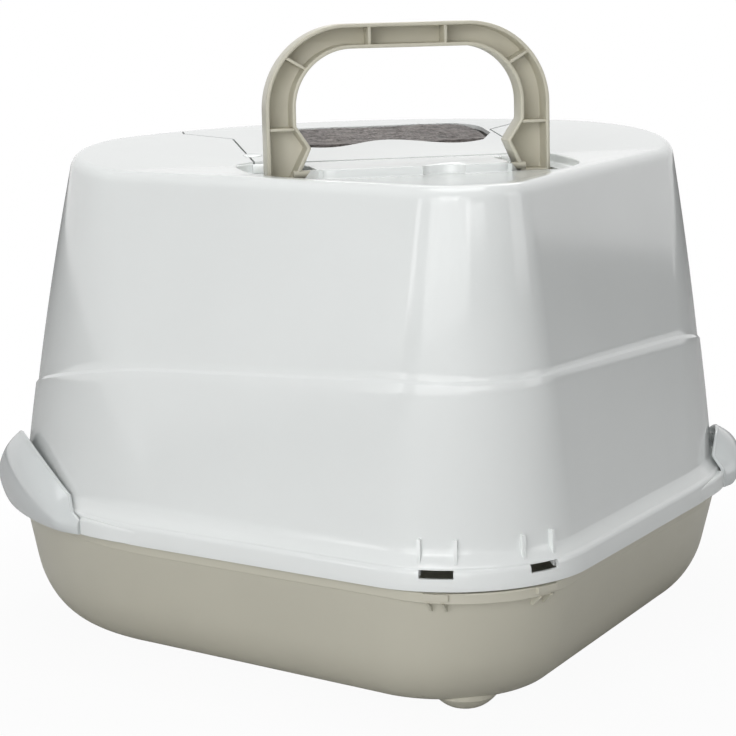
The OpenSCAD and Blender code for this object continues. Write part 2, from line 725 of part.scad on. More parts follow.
module latch_skin(s) {
    nv = 20;
    nh = 9;
    end_cut = 0.03;
    ps = [for (i = [0:nv]) mix(end_cut, 1 - end_cut, (1 - cos(180 * i / nv)) / 2)];
    hs = [for (i = [0:nh]) pow(i / nh, 0.8)];
    pts = concat([for (p = ps, h = hs) latch_point(s, p, h, 0)],
                 [for (p = ps, h = hs) latch_point(s, p, h, latch_t)]);
    m = nh + 1;
    back = (nv + 1) * m;
    face = [for (i = [0:nv - 1], j = [0:nh - 1]) let (a = i * m + j, b = a + m) each [[a, a + 1, b], [a + 1, b + 1, b]]];
    sides = concat(
        [for (i = [0:nv - 1]) let (a = i * m, b = a + m) each [[a, b, back + a], [b, back + b, back + a]]],
        [for (i = [0:nv - 1]) let (a = i * m + nh, b = a + m) each [[a, back + a, b], [b, back + a, back + b]]],
        [for (j = [0:nh - 1]) let (a = j, b = j + 1) each [[a, back + a, b], [b, back + a, back + b]]],
        [for (j = [0:nh - 1]) let (a = nv * m + j, b = a + 1) each [[a, b, back + a], [b, back + b, back + a]]]);
    polyhedron(points = pts,
               faces = concat(face, [for (f = flipped(face)) [f[0] + back, f[1] + back, f[2] + back]], sides));
}

module latch(s) color(white) {
    rib_t = 3;
    rib_h = 7;
    rib_v = latch_lug_v - 6;
    rib_end = latch_low_out - 1;
    latch_skin(s);
    latch_place() for (side = [-1, 1]) {
        translate([latch_pin_u - 1.2, side * rib_v - rib_t / 2, latch_pin_z - latch_pin_r])
            cube([rib_end - latch_pin_u + 1.2, rib_t, rib_h]);
        translate([latch_pin_u, side * (rib_v - 1), latch_pin_z]) rotate([-90 * side, 0, 0])
            cylinder(r = latch_pin_r, h = 9, $fn = 32);
    }
}

module latch_lugs() {
    lug_t = 4;
    latch_place() for (side = [-1, 1])
        translate([-6, side * latch_lug_v - lug_t / 2, latch_pin_z - 5]) cube([latch_pin_u + 9, lug_t, 8]);
}

module latch_bores() {
    latch_place() for (side = [-1, 1])
        translate([latch_pin_u, side * latch_lug_v - 3, latch_pin_z]) rotate([-90, 0, 0])
            cylinder(r = latch_pin_r + run_fit, h = 6, $fn = 32);
}

module latch_right() latch(right_shape);
module latch_left() mirror([1, 0, 0]) latch(left_shape);

// ---- air filter ----
// Carries its children into the plane of the lid's underside: Y along the roof from the hinge line
module under_lid() {
    translate([0, hinge_y - 6, roof_z]) rotate([atan(roof_rise), 0, 0]) translate([0, 0, -hood_wall]) children();
}

module filter_pad() color([0.45, 0.43, 0.42]) under_lid() {
    translate([vent_x - pad_half_w, pad_back, -pad_t - 0.2]) cube([pad_half_w * 2, pad_front - pad_back, pad_t]);
}

module filter_grille() color(white) under_lid() translate([vent_x, 0, 0]) {
    edge = 5;
    low = -pad_t - 0.4 - grille_t;
    w = pad_half_w + 4;
    back = pad_back - 4;
    front = pad_front + 4;
    difference() {
        translate([-w, back, low]) cube([2 * w, front - back, grille_t]);
        for (x = [-w + edge:grille_pitch:w - edge - 3])
            translate([x, back + edge, low - 1])
                cube([min(grille_pitch - 3, w - edge - x), front - back - 2 * edge, grille_t + 2]);
    }
    mirrored() for (y = [back + 1.7, front - 1.7])
        translate([w - 1.7, y, low]) cylinder(r = 1.7, h = -low - 0.04, $fn = 24);
}

tray();
hood();
front_lid();
swing_door();
handle();
latch_left();
latch_right();
filter_pad();
filter_grille();
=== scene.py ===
import json
import math

import bmesh
import bpy
import numpy as np
from mathutils import Matrix, Vector

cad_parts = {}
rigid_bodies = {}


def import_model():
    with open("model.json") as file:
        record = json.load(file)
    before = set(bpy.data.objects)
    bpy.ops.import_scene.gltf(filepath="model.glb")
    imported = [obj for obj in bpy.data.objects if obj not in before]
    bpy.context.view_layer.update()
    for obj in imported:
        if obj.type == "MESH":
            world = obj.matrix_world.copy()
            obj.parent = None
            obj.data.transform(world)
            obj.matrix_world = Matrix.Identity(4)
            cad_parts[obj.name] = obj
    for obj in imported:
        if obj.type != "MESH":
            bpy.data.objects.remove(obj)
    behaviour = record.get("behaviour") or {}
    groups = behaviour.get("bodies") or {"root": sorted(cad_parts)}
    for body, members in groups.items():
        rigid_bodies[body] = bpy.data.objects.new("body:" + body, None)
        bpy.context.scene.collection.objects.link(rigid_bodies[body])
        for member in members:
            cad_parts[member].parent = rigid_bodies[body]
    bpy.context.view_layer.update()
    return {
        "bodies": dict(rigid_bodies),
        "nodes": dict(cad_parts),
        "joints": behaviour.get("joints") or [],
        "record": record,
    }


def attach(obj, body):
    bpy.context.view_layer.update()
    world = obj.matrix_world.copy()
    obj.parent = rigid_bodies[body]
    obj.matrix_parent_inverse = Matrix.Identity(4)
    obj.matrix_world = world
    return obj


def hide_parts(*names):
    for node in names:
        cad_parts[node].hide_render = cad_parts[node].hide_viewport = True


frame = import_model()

MM = 0.001  # all shapes are drawn in millimetres
PAST = 20.0  # how far a cutter reaches past the body it cuts

# ---- sizes of the moulded parts, in mm
hinge_y, hinge_z, hinge_r, hinge_pin_r = 22.0, 347.2, 3.8, 2.4
roof_z, roof_rise, roof_edge_r = 351.2, 0.105, 7.0
base_z, wall_belly, hood_wall, step_in = 122.0, 3.0, 3.0, 1.6
# the styling step: highest at step_top_y, from where it falls off with the square of the distance
step_top_z, step_top_y, step_fall, step_half = 230.0, 195.0, 0.00045, 0.006
fillet_t = 0.035  # the share of the wall's height taken by the rounded roof edge
rim_out, rim_z, rim_ridge_z = 9.6, 99.3, 113.5
shelf_inner_z, shelf_slope = rim_ridge_z - 3.3, 0.72
base_half_w, base_side_r, base_front_r, base_front_corner_r = 265.7, 297.0, 1500.0, 80.0
base_apex, base_wall_angle, base_corner_r, base_front = 272.8, 48.1, 85.0, 231.4
# a plan: Y of the back apex, angle of the back walls, radius of the back corner, half width, radius of the
# sides and of the front corners, Y of the front, radius of the front
roof_plan = (-252.7, 52.5, 46, 224.6, 116, 90, 196.5, 450)
base_plan = (-base_apex, base_wall_angle, base_corner_r, base_half_w, base_side_r, base_front_corner_r,
        base_front, base_front_r)
tray_plan = (-240, 50, 78, 253.6, 180, base_front_corner_r - 20, 218.6, base_front_r)
band_plan = base_plan[:2] + (72,) + base_plan[3:]
floor_z, floor_round_h, floor_round_w, tray_wall = 8.0, 41.0, 27.6, 2.8
lip_out, band_h, band_out, rest_gap = 3.5, 7.0, 4.0, 0.3
lip_top_z = shelf_inner_z + (rim_out - hood_wall - lip_out) * shelf_slope - rest_gap
band_top_z = rim_z - 0.8
band_bottom_z = band_top_z - band_h
tray_centre_y = 22.0
slot_x, slot_w, slot_h, slot_top_z = 36.0, 22.0, 5.5, rim_ridge_z - 0.4
fin_t, fin_h, fin_out = 2.2, 23.5, 4.5
catch_w, catch_out, catch_low_z, gusset_w, gusset_h, gusset_x = 16.5, 1.8, band_bottom_z + 2.6, 1.6, 6.5, 4.8
recess_depth, recess_half_w = 6.5, 104.5
recess_floor = roof_z - recess_depth
recess_front_y, recess_side_x, recess_end_r, recess_inset, recess_bend_l = 6.0, 117.0, 20.0, 15.0, 45.0
island_half_w, island_back, notch_x, notch_r = 68.5, 53.0, 19.0, 17.0
grip_y, grip_depth, grip_wall, grip_half_w = 34.0, 19.0, 2.6, 101.0
grip_top_z, leg_w, grip_h, grip_r, foot_inner_x = 449.0, 21.0, 17.0, 58.0, 70.0
grip_pin_r, grip_pin_y, grip_pin_z = 2.8, -grip_y + 2, recess_floor + rest_gap + 2
well_side_x, well_back_y, well_front_y = island_half_w + 0.3, -grip_y - 12, -grip_y + grip_depth + 4
pivot_plate_t, pivot_plate_drop = 4.0, 12.0
tongue_root_half_w, tongue_half_w, front_half_w = 92.0, 100.0, 133.0
flare_start_y, flare_end_y, lid_gap, seam_w, sill_z = 127.0, 158.0, 0.8, 1.5, 128.0
hinge_boss_r, hinge_pin_l = 4.0, 6.0
disc_x, disc_y = 97.5, 53.0
vent_half_w, vent_x, vent_back_y, vent_front_y = 84.0, 13.0, 86.0, 162.0
vent_wave, vent_wave_l, vent_crest_x, vent_end_r = 12.0, 100.0, 12.0, 26.0
pad_t, pad_half_w, pad_back, pad_front = 8.0, 84.0, 94.0, 152.0
grille_t, grille_pitch = 2.4, 14.0
door_half_w, door_sill_z, door_top_z, door_r = 84.0, 145.0, 309.0, 45.0
door_y, door_t, door_gap, door_pin_r = 199.0, 2.4, 2.0, 2.0
collar_y, door_pin_z, door_lug_x, door_lug_t = door_y - 6, door_top_z - 8, 56.0, 4.0
latch_back_turn, latch_low_out, latch_bow, latch_end_h = 30.0, 18.0, 4.0, 6.0
latch_t, latch_turn, latch_pin_r, latch_pin_u = 2.6, 16.5, 2.2, 6.0
latch_pin_z, latch_lug_v, latch_lug_t = base_z - 4, 26.0, 4.0
# a latch's shape: length of its part on the front corner, height, where along it the height peaks, and
# how pointed the peak is
right_shape = (-base_side_r * math.radians(5), 36.0, 0.33, 0.7)
left_shape = (base_front_corner_r * math.radians(24), 51.0, 0.7, 1.0)
run_fit = 0.06
# the middle of the round side wall, which carries the latches
side_turn = math.radians(base_wall_angle)
side_cx = base_half_w - base_side_r
side_cy = math.tan(side_turn) * side_cx + base_side_r / math.cos(side_turn) - base_apex


# ---- outlines
def arc(cx, cy, r, start, end, steps, first=0, last=0):
    """Points of an arc, without its first and last few where they are asked to go."""
    a = np.radians(start + (end - start) * np.arange(first, steps - last + 1) / steps)
    return np.column_stack([cx + r * np.cos(a), cy + r * np.sin(a)])


def half_plan(p, k):
    """The right half of a plan grown by k: back corner, side, front corner and front, as four arcs."""
    turn = math.radians(p[1])
    apex, rc, w, rs = p[0] - k / math.cos(turn), p[2] + k, p[3] + k, p[4] + k
    rf, front, rr = p[5] + k, p[6] + k, p[7] + k
    side_x = w - rs
    side_y = apex + math.tan(turn) * side_x + rs / math.cos(turn)
    corner_x = w - rf
    corner_y = front - rr + math.sqrt((rr - rf) ** 2 - corner_x ** 2)
    meet = math.degrees(math.atan2(corner_y - front + rr, corner_x))
    return np.vstack([arc(0, apex + rc / math.cos(turn), rc, -90, p[1] - 90, 26),
            arc(side_x, side_y, rs, p[1] - 90, 0, 34, 0, 1),
            arc(corner_x, corner_y, rf, 0, meet, 26),
            arc(0, front - rr, rr, meet, 90, 26, 1, 0)])


def plan(p, k):
    """The whole outline of a plan grown by k."""
    half = half_plan(p, k)
    return np.vstack([half, half[-2:0:-1] * [-1, 1]])


def at_z(ring, z):
    return np.column_stack([ring, np.broadcast_to(z, len(ring))])


def roof_height(y):
    """The roof is level at the back and slopes up from the hinge to the front."""
    return roof_z + roof_rise * np.maximum(0, y - hinge_y + 6)


def wall_ring(t, k, drop=0.0):
    """One ring of the hood's wall: t is 0 at the roof edge and 1 at the rim."""
    a, b = plan(roof_plan, k), plan(base_plan, k)
    t = np.broadcast_to(t, len(a))[:, None]
    belly = 1 + wall_belly * 4 * t * (1 - t) / base_half_w
    q = (a * (1 - t) + b * t) * belly
    top = (roof_height(a[:, 1]) - drop)[:, None]
    return np.column_stack([q, top * (1 - t) + base_z * t])


def ease(t):
    u = min(1.0, max(0.0, t))
    return u * u * (3 - 2 * u)


def step_place():
    """Where the styling step lies on the wall, as the t of wall_ring for each point of the ring."""
    a, b = plan(roof_plan, 0), plan(base_plan, 0)
    top = roof_height(a[:, 1])
    y = a[:, 1] * 0.45 + b[:, 1] * 0.55
    return (top - (step_top_z - step_fall * (y + step_top_y) ** 2)) / (top - base_z)


STEP_T = step_place()


def skin_rings(k, first_t=1.0):
    """The skin from the rim up to the roof, with the styling step and the rounded roof edge."""
    low_rows, step_rows, high_rows, edge_rows = 14, 7, 22, 10
    below = [wall_ring(first_t + (STEP_T + step_half - first_t) * i / low_rows, k) for i in range(low_rows)]
    step = []
    for i in range(step_rows):
        s = i / (step_rows - 1)
        step.append(wall_ring(STEP_T + step_half * (1 - 2 * s), k - step_in * ease(s)))
    above = []
    for i in range(1, high_rows + 1):
        s = i / high_rows
        above.append(wall_ring((STEP_T - step_half) * (1 - s) + fillet_t * s, k - step_in * (1 - s)))
    edge = []
    for i in range(1, edge_rows + 1):
        u = math.radians(90 * i / edge_rows)
        edge.append(wall_ring(fillet_t * (1 - math.sin(u)), k - roof_edge_r * (1 - math.cos(u)),
                -k * math.sin(u)))
    return below + step + above + edge


# ---- meshes
def new_piece(name, points, faces):
    """A mesh object at the origin, from points in mm."""
    mesh = bpy.data.meshes.new(name)
    mesh.from_pydata([tuple(p) for p in np.asarray(points, float) * MM], [], faces)
    mesh.update()
    piece = bpy.data.objects.new(name, mesh)
    bpy.context.scene.collection.objects.link(piece)
    return piece


def strip_cap(first, m, up):
    """Closes a ring that is a mirror image about X = 0 with strips across it."""
    faces = []
    for j in range(m // 2):
        loop = [first + j, first + j + 1, first + m - j - 1, first + (m - j) % m]
        loop = list(dict.fromkeys(loop))
        faces.append(loop if up else loop[::-1])
    return faces


def loft(name, rings, fan=False):
    """A closed solid through rings of equal count, lowest first."""
    m, n = len(rings[0]), len(rings)
    faces = [[i * m + j, i * m + (j + 1) % m, (i + 1) * m + (j + 1) % m, (i + 1) * m + j]
            for i in range(n - 1) for j in range(m)]
    if fan:
        faces += [list(range(m))[::-1], list(range((n - 1) * m, n * m))]
    else:
        faces += strip_cap(0, m, False) + strip_cap((n - 1) * m, m, True)
    return new_piece(name, np.vstack(rings), faces)


def prism(name, outline, low, high):
    outline = np.asarray(outline, float)
    return loft(name, [at_z(outline, low), at_z(outline, high)], fan=True)


def prism_y(name, outline, low, high):
    """An outline in X and Z, run along Y."""
    outline = np.asarray(outline, float)[::-1]
    rings = [np.column_stack([outline[:, 0], np.full(len(outline), y), outline[:, 1]]) for y in (low, high)]
    return loft(name, rings, fan=True)


def slab(name, outline, x, thickness, z):
    """An outline in Y and Z, given from the height z, as a plate across X."""
    n = len(outline)
    points = [(x + side * thickness / 2, a, z + b) for side in (-1, 1) for a, b in outline]
    faces = [list(range(n)), list(range(2 * n - 1, n - 1, -1))]
    faces += [[i, i + n, (i + 1) % n + n, (i + 1) % n] for i in range(n)]
    return outward(new_piece(name, points, faces))


def block(name, low, high, place=None):
    """A box between two corners, moved to its place."""
    (x0, y0, z0), (x1, y1, z1) = low, high
    piece = prism(name, [(x0, y0), (x1, y0), (x1, y1), (x0, y1)], z0, z1)
    if place is not None:
        move(piece, place)
    return piece


def at(x, y, z):
    return Matrix.Translation((x, y, z))


def spin(degrees, axis):
    return Matrix.Rotation(math.radians(degrees), 4, axis)


def move(piece, matrix):
    lifted = matrix.copy()
    lifted.translation = lifted.translation * MM
    piece.data.transform(lifted)
    if lifted.determinant() < 0:
        piece.data.flip_normals()
    return piece


def turned(name, profile, place, steps=48):
    """A closed solid of revolution about its local Z, from (radius, height) pairs."""
    a = 2 * math.pi * np.arange(steps) / steps
    rings = [np.column_stack([max(r, 1e-3) * np.cos(a), max(r, 1e-3) * np.sin(a), np.full(steps, z)])
            for r, z in profile]
    return move(loft(name, rings, fan=True), place)


def rod(name, y, z, r, start, end, edge=0.0):
    """A round bar along X, with its ends rounded by edge."""
    length = end - start
    profile = [(r, 0), (r, length)]
    if edge:
        profile = [(r - edge, 0), (r - edge * 0.3, edge * 0.3), (r, edge), (r, length - edge),
                (r - edge * 0.3, length - edge * 0.3), (r - edge, length)]
    place = at(start, y, z) @ spin(90, "Y")
    return turned(name, profile, place)


def mirror_x(piece, name):
    copy = piece.copy()
    copy.data = piece.data.copy()
    copy.name = name
    bpy.context.scene.collection.objects.link(copy)
    return move(copy, Matrix.Scale(-1, 4, (1, 0, 0)))


def both(piece):
    return [piece, mirror_x(piece, piece.name + "_m")]


def pairs(pieces):
    """Each piece followed by its mirror image."""
    return sum([both(piece) for piece in pieces], [])


def baked(piece):
    """Replaces a piece's mesh by its evaluated mesh and drops its modifiers."""
    depsgraph = bpy.context.evaluated_depsgraph_get()
    mesh = bpy.data.meshes.new_from_object(piece.evaluated_get(depsgraph))
    piece.modifiers.clear()
    piece.data = mesh
    mesh.name = piece.name
    return piece


def combine(piece, *steps):
    """Cuts, joins or keeps the overlap with tools in turn, and removes the tools."""
    names = {"cut": "DIFFERENCE", "join": "UNION", "keep": "INTERSECT"}
    work = [(word, tool) for word, tools in steps for tool in (tools if isinstance(tools, list) else [tools])]
    for word, tool in work:
        mod = piece.modifiers.new(word, "BOOLEAN")
        mod.operation = names[word]
        mod.solver = "MANIFOLD"
        mod.object = tool
    baked(piece)
    for _, tool in work:
        bpy.data.objects.remove(tool)
    return piece


def outward(piece):
    """Turns all normals of a closed piece outwards."""
    bm = bmesh.new()
    bm.from_mesh(piece.data)
    bmesh.ops.recalc_face_normals(bm, faces=bm.faces)
    bm.to_mesh(piece.data)
    bm.free()
    return piece


def smooth(piece, angle=32):
    piece.data.shade_smooth()
    piece.data.set_sharp_from_angle(angle=math.radians(angle))
    return piece


def bevel(piece, width, segments=2, angle=40):
    mod = piece.modifiers.new("edge", "BEVEL")
    mod.width = width * MM
    mod.segments = segments
    mod.limit_method = "ANGLE"
    mod.angle_limit = math.radians(angle)
    return baked(piece)


def on_corner(centre_y, x, r):
    """The place of a detail on an upright round corner, turned to face outwards."""
    return (at(0, centre_y, 0) @ Matrix.Rotation(math.asin(x / r), 4, "Z")
            @ at(0, -r, 0))


def corner_centre(p, k):
    """The Y of the middle of a plan's round back corner."""
    c = math.cos(math.radians(p[1]))
    return p[0] - k / c + (p[2] + k) / c


# ---- tray
def drawn_in(ring, by):
    """Moves each point of a ring towards the middle of the tray."""
    d = ring - [0, tray_centre_y]
    return [0, tray_centre_y] + d * (1 - by / np.linalg.norm(d, axis=1)[:, None])


def tray_ring(z, k, by):
    """A ring of the bowl's wall at a height, grown by k and then drawn in."""
    t = (band_bottom_z - z) / (band_bottom_z - floor_z)
    ring = plan(base_plan, lip_out - 0.5 + k) * (1 - t) + plan(tray_plan, k) * t
    return at_z(drawn_in(ring, by), z)


def tray_skin(k, lift):
    """The bowl's rings grown by k, from the round edge of its floor up to the band."""
    rows = []
    for u in np.radians(np.linspace(90, 0, 19)):
        rows.append(tray_ring(floor_z + lift + (floor_round_h - lift) * (1 - math.sin(u)), k,
                floor_round_w * (1 - math.cos(u))))
    low = floor_z + floor_round_h
    for i in range(1, 7):
        rows.append(tray_ring(low + (band_bottom_z - low) * i / 6, k, 0))
    return rows


def tray_foot(x, y):
    sole_r, foot_r, dome_h = 6.0, 21.5, floor_z + 1
    steps = 14
    profile = [(0, 0)] + [(sole_r + (foot_r - sole_r) * i / steps, dome_h * (i / steps) ** 2)
            for i in range(steps + 1)] + [(foot_r, floor_z + 14)]
    return turned("foot", profile, at(x, y, 0), 72)


def tray_catch():
    """A catch block on the band with two gussets under it."""
    place = on_corner(corner_centre(band_plan, band_out), slot_x, band_plan[2] + band_out)
    parts = [block("catch", (-catch_w / 2, -catch_out, catch_low_z),
            (catch_w / 2, 8 - catch_out, band_top_z - 0.2), place)]
    outline = [(-catch_out, 0.5), (9, 0.5), (9, -gusset_h), (6, -gusset_h)]
    for x in (-gusset_x, gusset_x):
        parts.append(move(slab("gusset", outline, x, gusset_w, band_bottom_z), place))
    return parts


def rings_of(outline, profile):
    """Rings of one plan, from pairs of how far out it is grown and the height."""
    return [at_z(plan(outline, k), z) for k, z in profile]


def slot_place():
    return on_corner(corner_centre(base_plan, rim_out), slot_x, base_corner_r + rim_out)


def make_tray():
    lip, edge = 0.8, 0.6
    tray = loft("tray_bowl", tray_skin(0, 0) + rings_of(base_plan, [
        (lip_out, band_top_z - 1), (lip_out, lip_top_z - lip), (lip_out - lip * 0.3, lip_top_z - lip * 0.3),
        (lip_out - lip, lip_top_z)]))
    band = loft("band", rings_of(band_plan, [
        (band_out - edge, band_bottom_z), (band_out, band_bottom_z + edge), (band_out, band_top_z - edge),
        (band_out - edge, band_top_z)]))
    # a window in the lip behind each catch slot, so that the slot shows the dark inside
    gap = block("gap", (-slot_w / 2 - 5, -3, band_top_z + 2), (slot_w / 2 + 5, 16, lip_top_z + 1), slot_place())
    hollow = loft("hollow", tray_skin(-tray_wall, tray_wall) + rings_of(base_plan, [
        (lip_out - tray_wall, band_top_z), (lip_out - tray_wall, lip_top_z + PAST)]))
    feet = [tray_foot(0, -162), tray_foot(150, 140), tray_foot(-150, 140)]
    combine(tray, ("join", [band] + feet + pairs(tray_catch())), ("cut", [hollow] + both(gap)))
    return smooth(tray)


# ---- hood
def hood_outside(name):
    """The hood's outer skin as a solid: the rim, its shelf, the wall and the roof."""
    rim = [(rim_out - 0.9, rim_z), (rim_out - 0.25, rim_z + 0.25), (rim_out, rim_z + 0.9),
           (rim_out - 0.3, rim_z + 5), (rim_out - 0.7, rim_ridge_z - 3.2), (rim_out - 1.0, rim_ridge_z - 1.8),
           (rim_out - 1.6, rim_ridge_z - 0.7), (rim_out - 2.4, rim_ridge_z - 0.1), (rim_out - 3.3, rim_ridge_z),
           (rim_out - 4.2, rim_ridge_z + 0.7), (3.4, rim_ridge_z + 2.9), (1.9, rim_ridge_z + 4.7),
           (1.0, rim_ridge_z + 6.1), (0.4, rim_ridge_z + 7.4)]
    return loft(name, rings_of(base_plan, rim) + skin_rings(0))


def hood_inside(name):
    rim = [(rim_out - hood_wall, rim_z - PAST), (rim_out - hood_wall, shelf_inner_z),
           (-hood_wall, shelf_inner_z + rim_out * shelf_slope)]
    return loft(name, rings_of(base_plan, rim) + skin_rings(-hood_wall))


def recess_side(k):
    """The outer outline of the roof recess, grown by k: it follows the roof's edge round the back corner."""
    turn = roof_plan[1]
    c = math.cos(math.radians(turn))
    end_x = recess_side_x - recess_end_r
    meet = 180 - math.degrees(math.asin(k / (recess_end_r + k)))
    corner_r = roof_plan[2] - recess_inset
    corner_y = roof_plan[0] + (recess_inset + corner_r) / c
    side_y = roof_plan[0] + (math.sin(math.radians(turn)) * recess_side_x + recess_inset) / c
    bend_r = recess_bend_l / math.tan(math.radians(90 - turn) / 2)
    right = np.vstack([arc(end_x, recess_front_y, recess_end_r + k, meet, 0, 20),
            arc(recess_side_x - bend_r, side_y + recess_bend_l, bend_r + k, 0, turn - 90, 14),
            arc(0, corner_y, corner_r + k, turn - 90, -90, 14, 0, 1)])
    back = [(0, corner_y - corner_r - k)]
    return np.vstack([right, back, right[::-1] * [-1, 1]])[::-1]


def island_outline(k):
    """The raised middle of the roof, grown by k."""
    r = 12.0
    right = np.vstack([[(island_half_w + k, recess_front_y + 8)],
            arc(island_half_w - r, -island_back + r, r + k, 0, -90, 12)])
    return np.vstack([right[::-1] * [-1, 1], right])[::-1]


def recess_cut(name, grow=0.0):
    """The cutter of the recess, with a rounded floor edge and a rounded mouth, and the island left standing."""
    low_r, high_r, floor = 1.6, 1.3, recess_floor - grow
    turns = np.radians(np.linspace(0, 90, 6))
    profile = [(-low_r * (1 - math.sin(a)), floor + low_r * (1 - math.cos(a))) for a in turns]
    profile += [(high_r * (1 - math.cos(a)), roof_z - high_r * (1 - math.sin(a))) for a in turns]
    top = (high_r, roof_z + PAST * 2)
    hole = loft(name, [at_z(recess_side(k + grow), z) for k, z in profile + [top]], fan=True)
    inner = [(low_r, floor - 1)] + [(-k, z) for k, z in profile[1:]] + [(-high_r, roof_z + PAST * 3)]
    island = loft(name + "_island", [at_z(island_outline(k - grow), z) for k, z in inner], fan=True)
    return combine(hole, ("cut", island))


def lid_outline(back, shoulder, grow):
    """The T-shaped outline of the lid: a narrow root, the tongue, and the flare to the full width."""
    r, t, f = tongue_root_half_w + grow, tongue_half_w + grow, front_half_w + grow
    half = [(r, back), (r, shoulder), (t, shoulder), (t, flare_start_y - grow / 2),
            (f, flare_end_y - grow / 2), (f, base_front + PAST)]
    return half + [(-x, y) for x, y in half[::-1]]


def lid_space(name, back, shoulder, grow, low):
    return prism(name, lid_outline(back, shoulder, grow), low, roof_z + 60)


def hood_fin(x):
    """A fin that stands on the rim beside a catch slot."""
    foot_z = shelf_inner_z - 2.5
    place = on_corner(corner_centre(base_plan, fin_out), x, base_corner_r + fin_out)
    soft = 0.6
    outline = [(0, 0), (fin_out + 1, (fin_out + 1) * shelf_slope), (fin_out + 3, fin_h),
            (1.5 + soft, fin_h), (1.5 + soft * 0.3, fin_h - soft * 0.3), (1.5, fin_h - soft)]
    return move(slab("fin", outline, 0, fin_t, foot_z), place)


def latch_place():
    """The place of the right latch's pins: X points outwards and Y along the wall."""
    return at(side_cx, side_cy, 0) @ spin(-latch_turn, "Z") @ at(base_side_r, 0, 0)


def latch_rod(name, v, r, length, side):
    place = latch_place() @ at(latch_pin_u, v, latch_pin_z) @ spin(-90 * side, "X")
    return turned(name, [(r, 0), (r, length)], place, 40)


def latch_fairing():
    """The rim's swelling that runs into the near end of a latch."""
    start, end, cols = latch_back_turn + 11.5, latch_back_turn - 0.7, 24
    rows = []
    for i in range(cols + 1):
        b = i / cols
        swell = ease(b)
        out = rim_out - 0.8 + swell * (latch_t + 1.6)
        top = rim_ridge_z - 3.5 + swell * 1.6
        a = -math.radians(start + (end - start) * b)
        section = [(rim_out - 2.2, rim_z + 0.3), (out - 0.5, rim_z + 0.3), (out, rim_z + 0.9), (out, top - 2.2),
                (out - 0.3, top - 1.0), (out - 1.0, top - 0.2), (out - 2.0, top), (rim_out - 2.2, top)]
        rows.append([(side_cx + (base_side_r + o) * math.cos(a), side_cy + (base_side_r + o) * math.sin(a), z)
                for o, z in section])
    return outward(loft("fairing", [np.array(r) for r in rows], fan=True))


def make_hood():
    hood = hood_outside("hood_shell")
    notch_y = -island_back - notch_r * 0.45
    cup = turned("cup", [(notch_r + hood_wall, -hood_wall), (notch_r + hood_wall, PAST)],
            at(notch_x, notch_y, recess_floor), 72)
    void = combine(hood_inside("void"), ("cut", [recess_cut("recess_under", hood_wall), cup]))
    well = block("well", (well_side_x, well_back_y, recess_floor - PAST),
            (recess_half_w - 1, well_front_y, recess_floor + PAST))
    pocket = block("pocket", (well_side_x, well_back_y, recess_floor - PAST),
            (foot_inner_x + 10, 10, roof_z - 1.4))
    r, soft, bend = notch_r, 1.2, 0.35
    notch = turned("notch", [(r - soft, 0), (r - bend, bend), (r, soft), (r, recess_depth - soft),
                      (r + bend, recess_depth - bend), (r + soft, recess_depth), (r + soft, PAST)],
            at(notch_x, notch_y, recess_floor), 72)
    inner, near_y, far_y = island_half_w - 3, -island_back + 3, -grip_y - 3.2
    cheek = loft("cheek", [[(inner, near_y, z), (island_half_w, near_y, z), (out, far_y, z), (inner, far_y, z)]
            for z, out in ((recess_floor - 1, island_half_w + 8), (roof_z - 1, island_half_w + 3))])
    plate = block("plate", (well_side_x - pivot_plate_t, well_back_y + 2, grip_pin_z - pivot_plate_drop),
            (well_side_x, well_front_y - 2, roof_z - 0.1))
    boss = rod("boss", hinge_y, hinge_z, hinge_boss_r, tongue_root_half_w + lid_gap,
            tongue_half_w + lid_gap + 2, 0.5)
    disc = turned("disc", [(7.0, -1), (7.0, 0.35), (6.75, 0.6), (6.2, 0.7)],
            at(disc_x, disc_y, roof_height(disc_y))
            @ Matrix.Rotation(math.atan(roof_rise), 4, "X"))
    lugs = [block("lug", (-6, side * latch_lug_v - latch_lug_t / 2, latch_pin_z - 5),
                  (latch_pin_u + 3, side * latch_lug_v + latch_lug_t / 2, latch_pin_z + 3), latch_place())
            for side in (-1, 1)]
    fins = [hood_fin(slot_x - slot_w / 2 - fin_t), hood_fin(slot_x + slot_w / 2 - fin_t)]
    slot = block("slot", (-slot_w / 2, -3, slot_top_z - slot_h), (slot_w / 2, 6.5, slot_top_z), slot_place())
    bores = [rod("bore", grip_pin_y, grip_pin_z, grip_pin_r + run_fit, well_side_x - pivot_plate_t - 1,
                well_side_x + 1),
            rod("bore", hinge_y, hinge_z, hinge_pin_r + run_fit, tongue_root_half_w,
                tongue_root_half_w + hinge_pin_l + 0.5)]
    bores += [latch_rod("bore", side * latch_lug_v - 3, latch_pin_r + run_fit, 6, 1) for side in (-1, 1)]
    lid_hole = lid_space("lid_hole", hinge_y - hinge_r - 1.4, hinge_y + hinge_boss_r, seam_w, sill_z - lid_gap)
    added = [cheek, plate, boss, disc, latch_fairing()] + fins + lugs
    combine(hood, ("cut", [void, recess_cut("recess"), lid_hole, notch] + pairs([well, pocket])),
            ("join", pairs(added)), ("cut", pairs([slot] + bores)))
    return smooth(hood)


# ---- front lid and swing door
def door_outline(k):
    w, top, r, low, rb = door_half_w + k, door_top_z + k, door_r + k, door_sill_z - k, 12 + k
    return np.vstack([arc(w - rb, low + rb, rb, 0, -90, 8), arc(-w + rb, low + rb, rb, -90, -180, 8),
            arc(-w + r, top - r, r, 180, 90, 16), arc(w - r, top - r, r, 90, 0, 16)])[::-1]


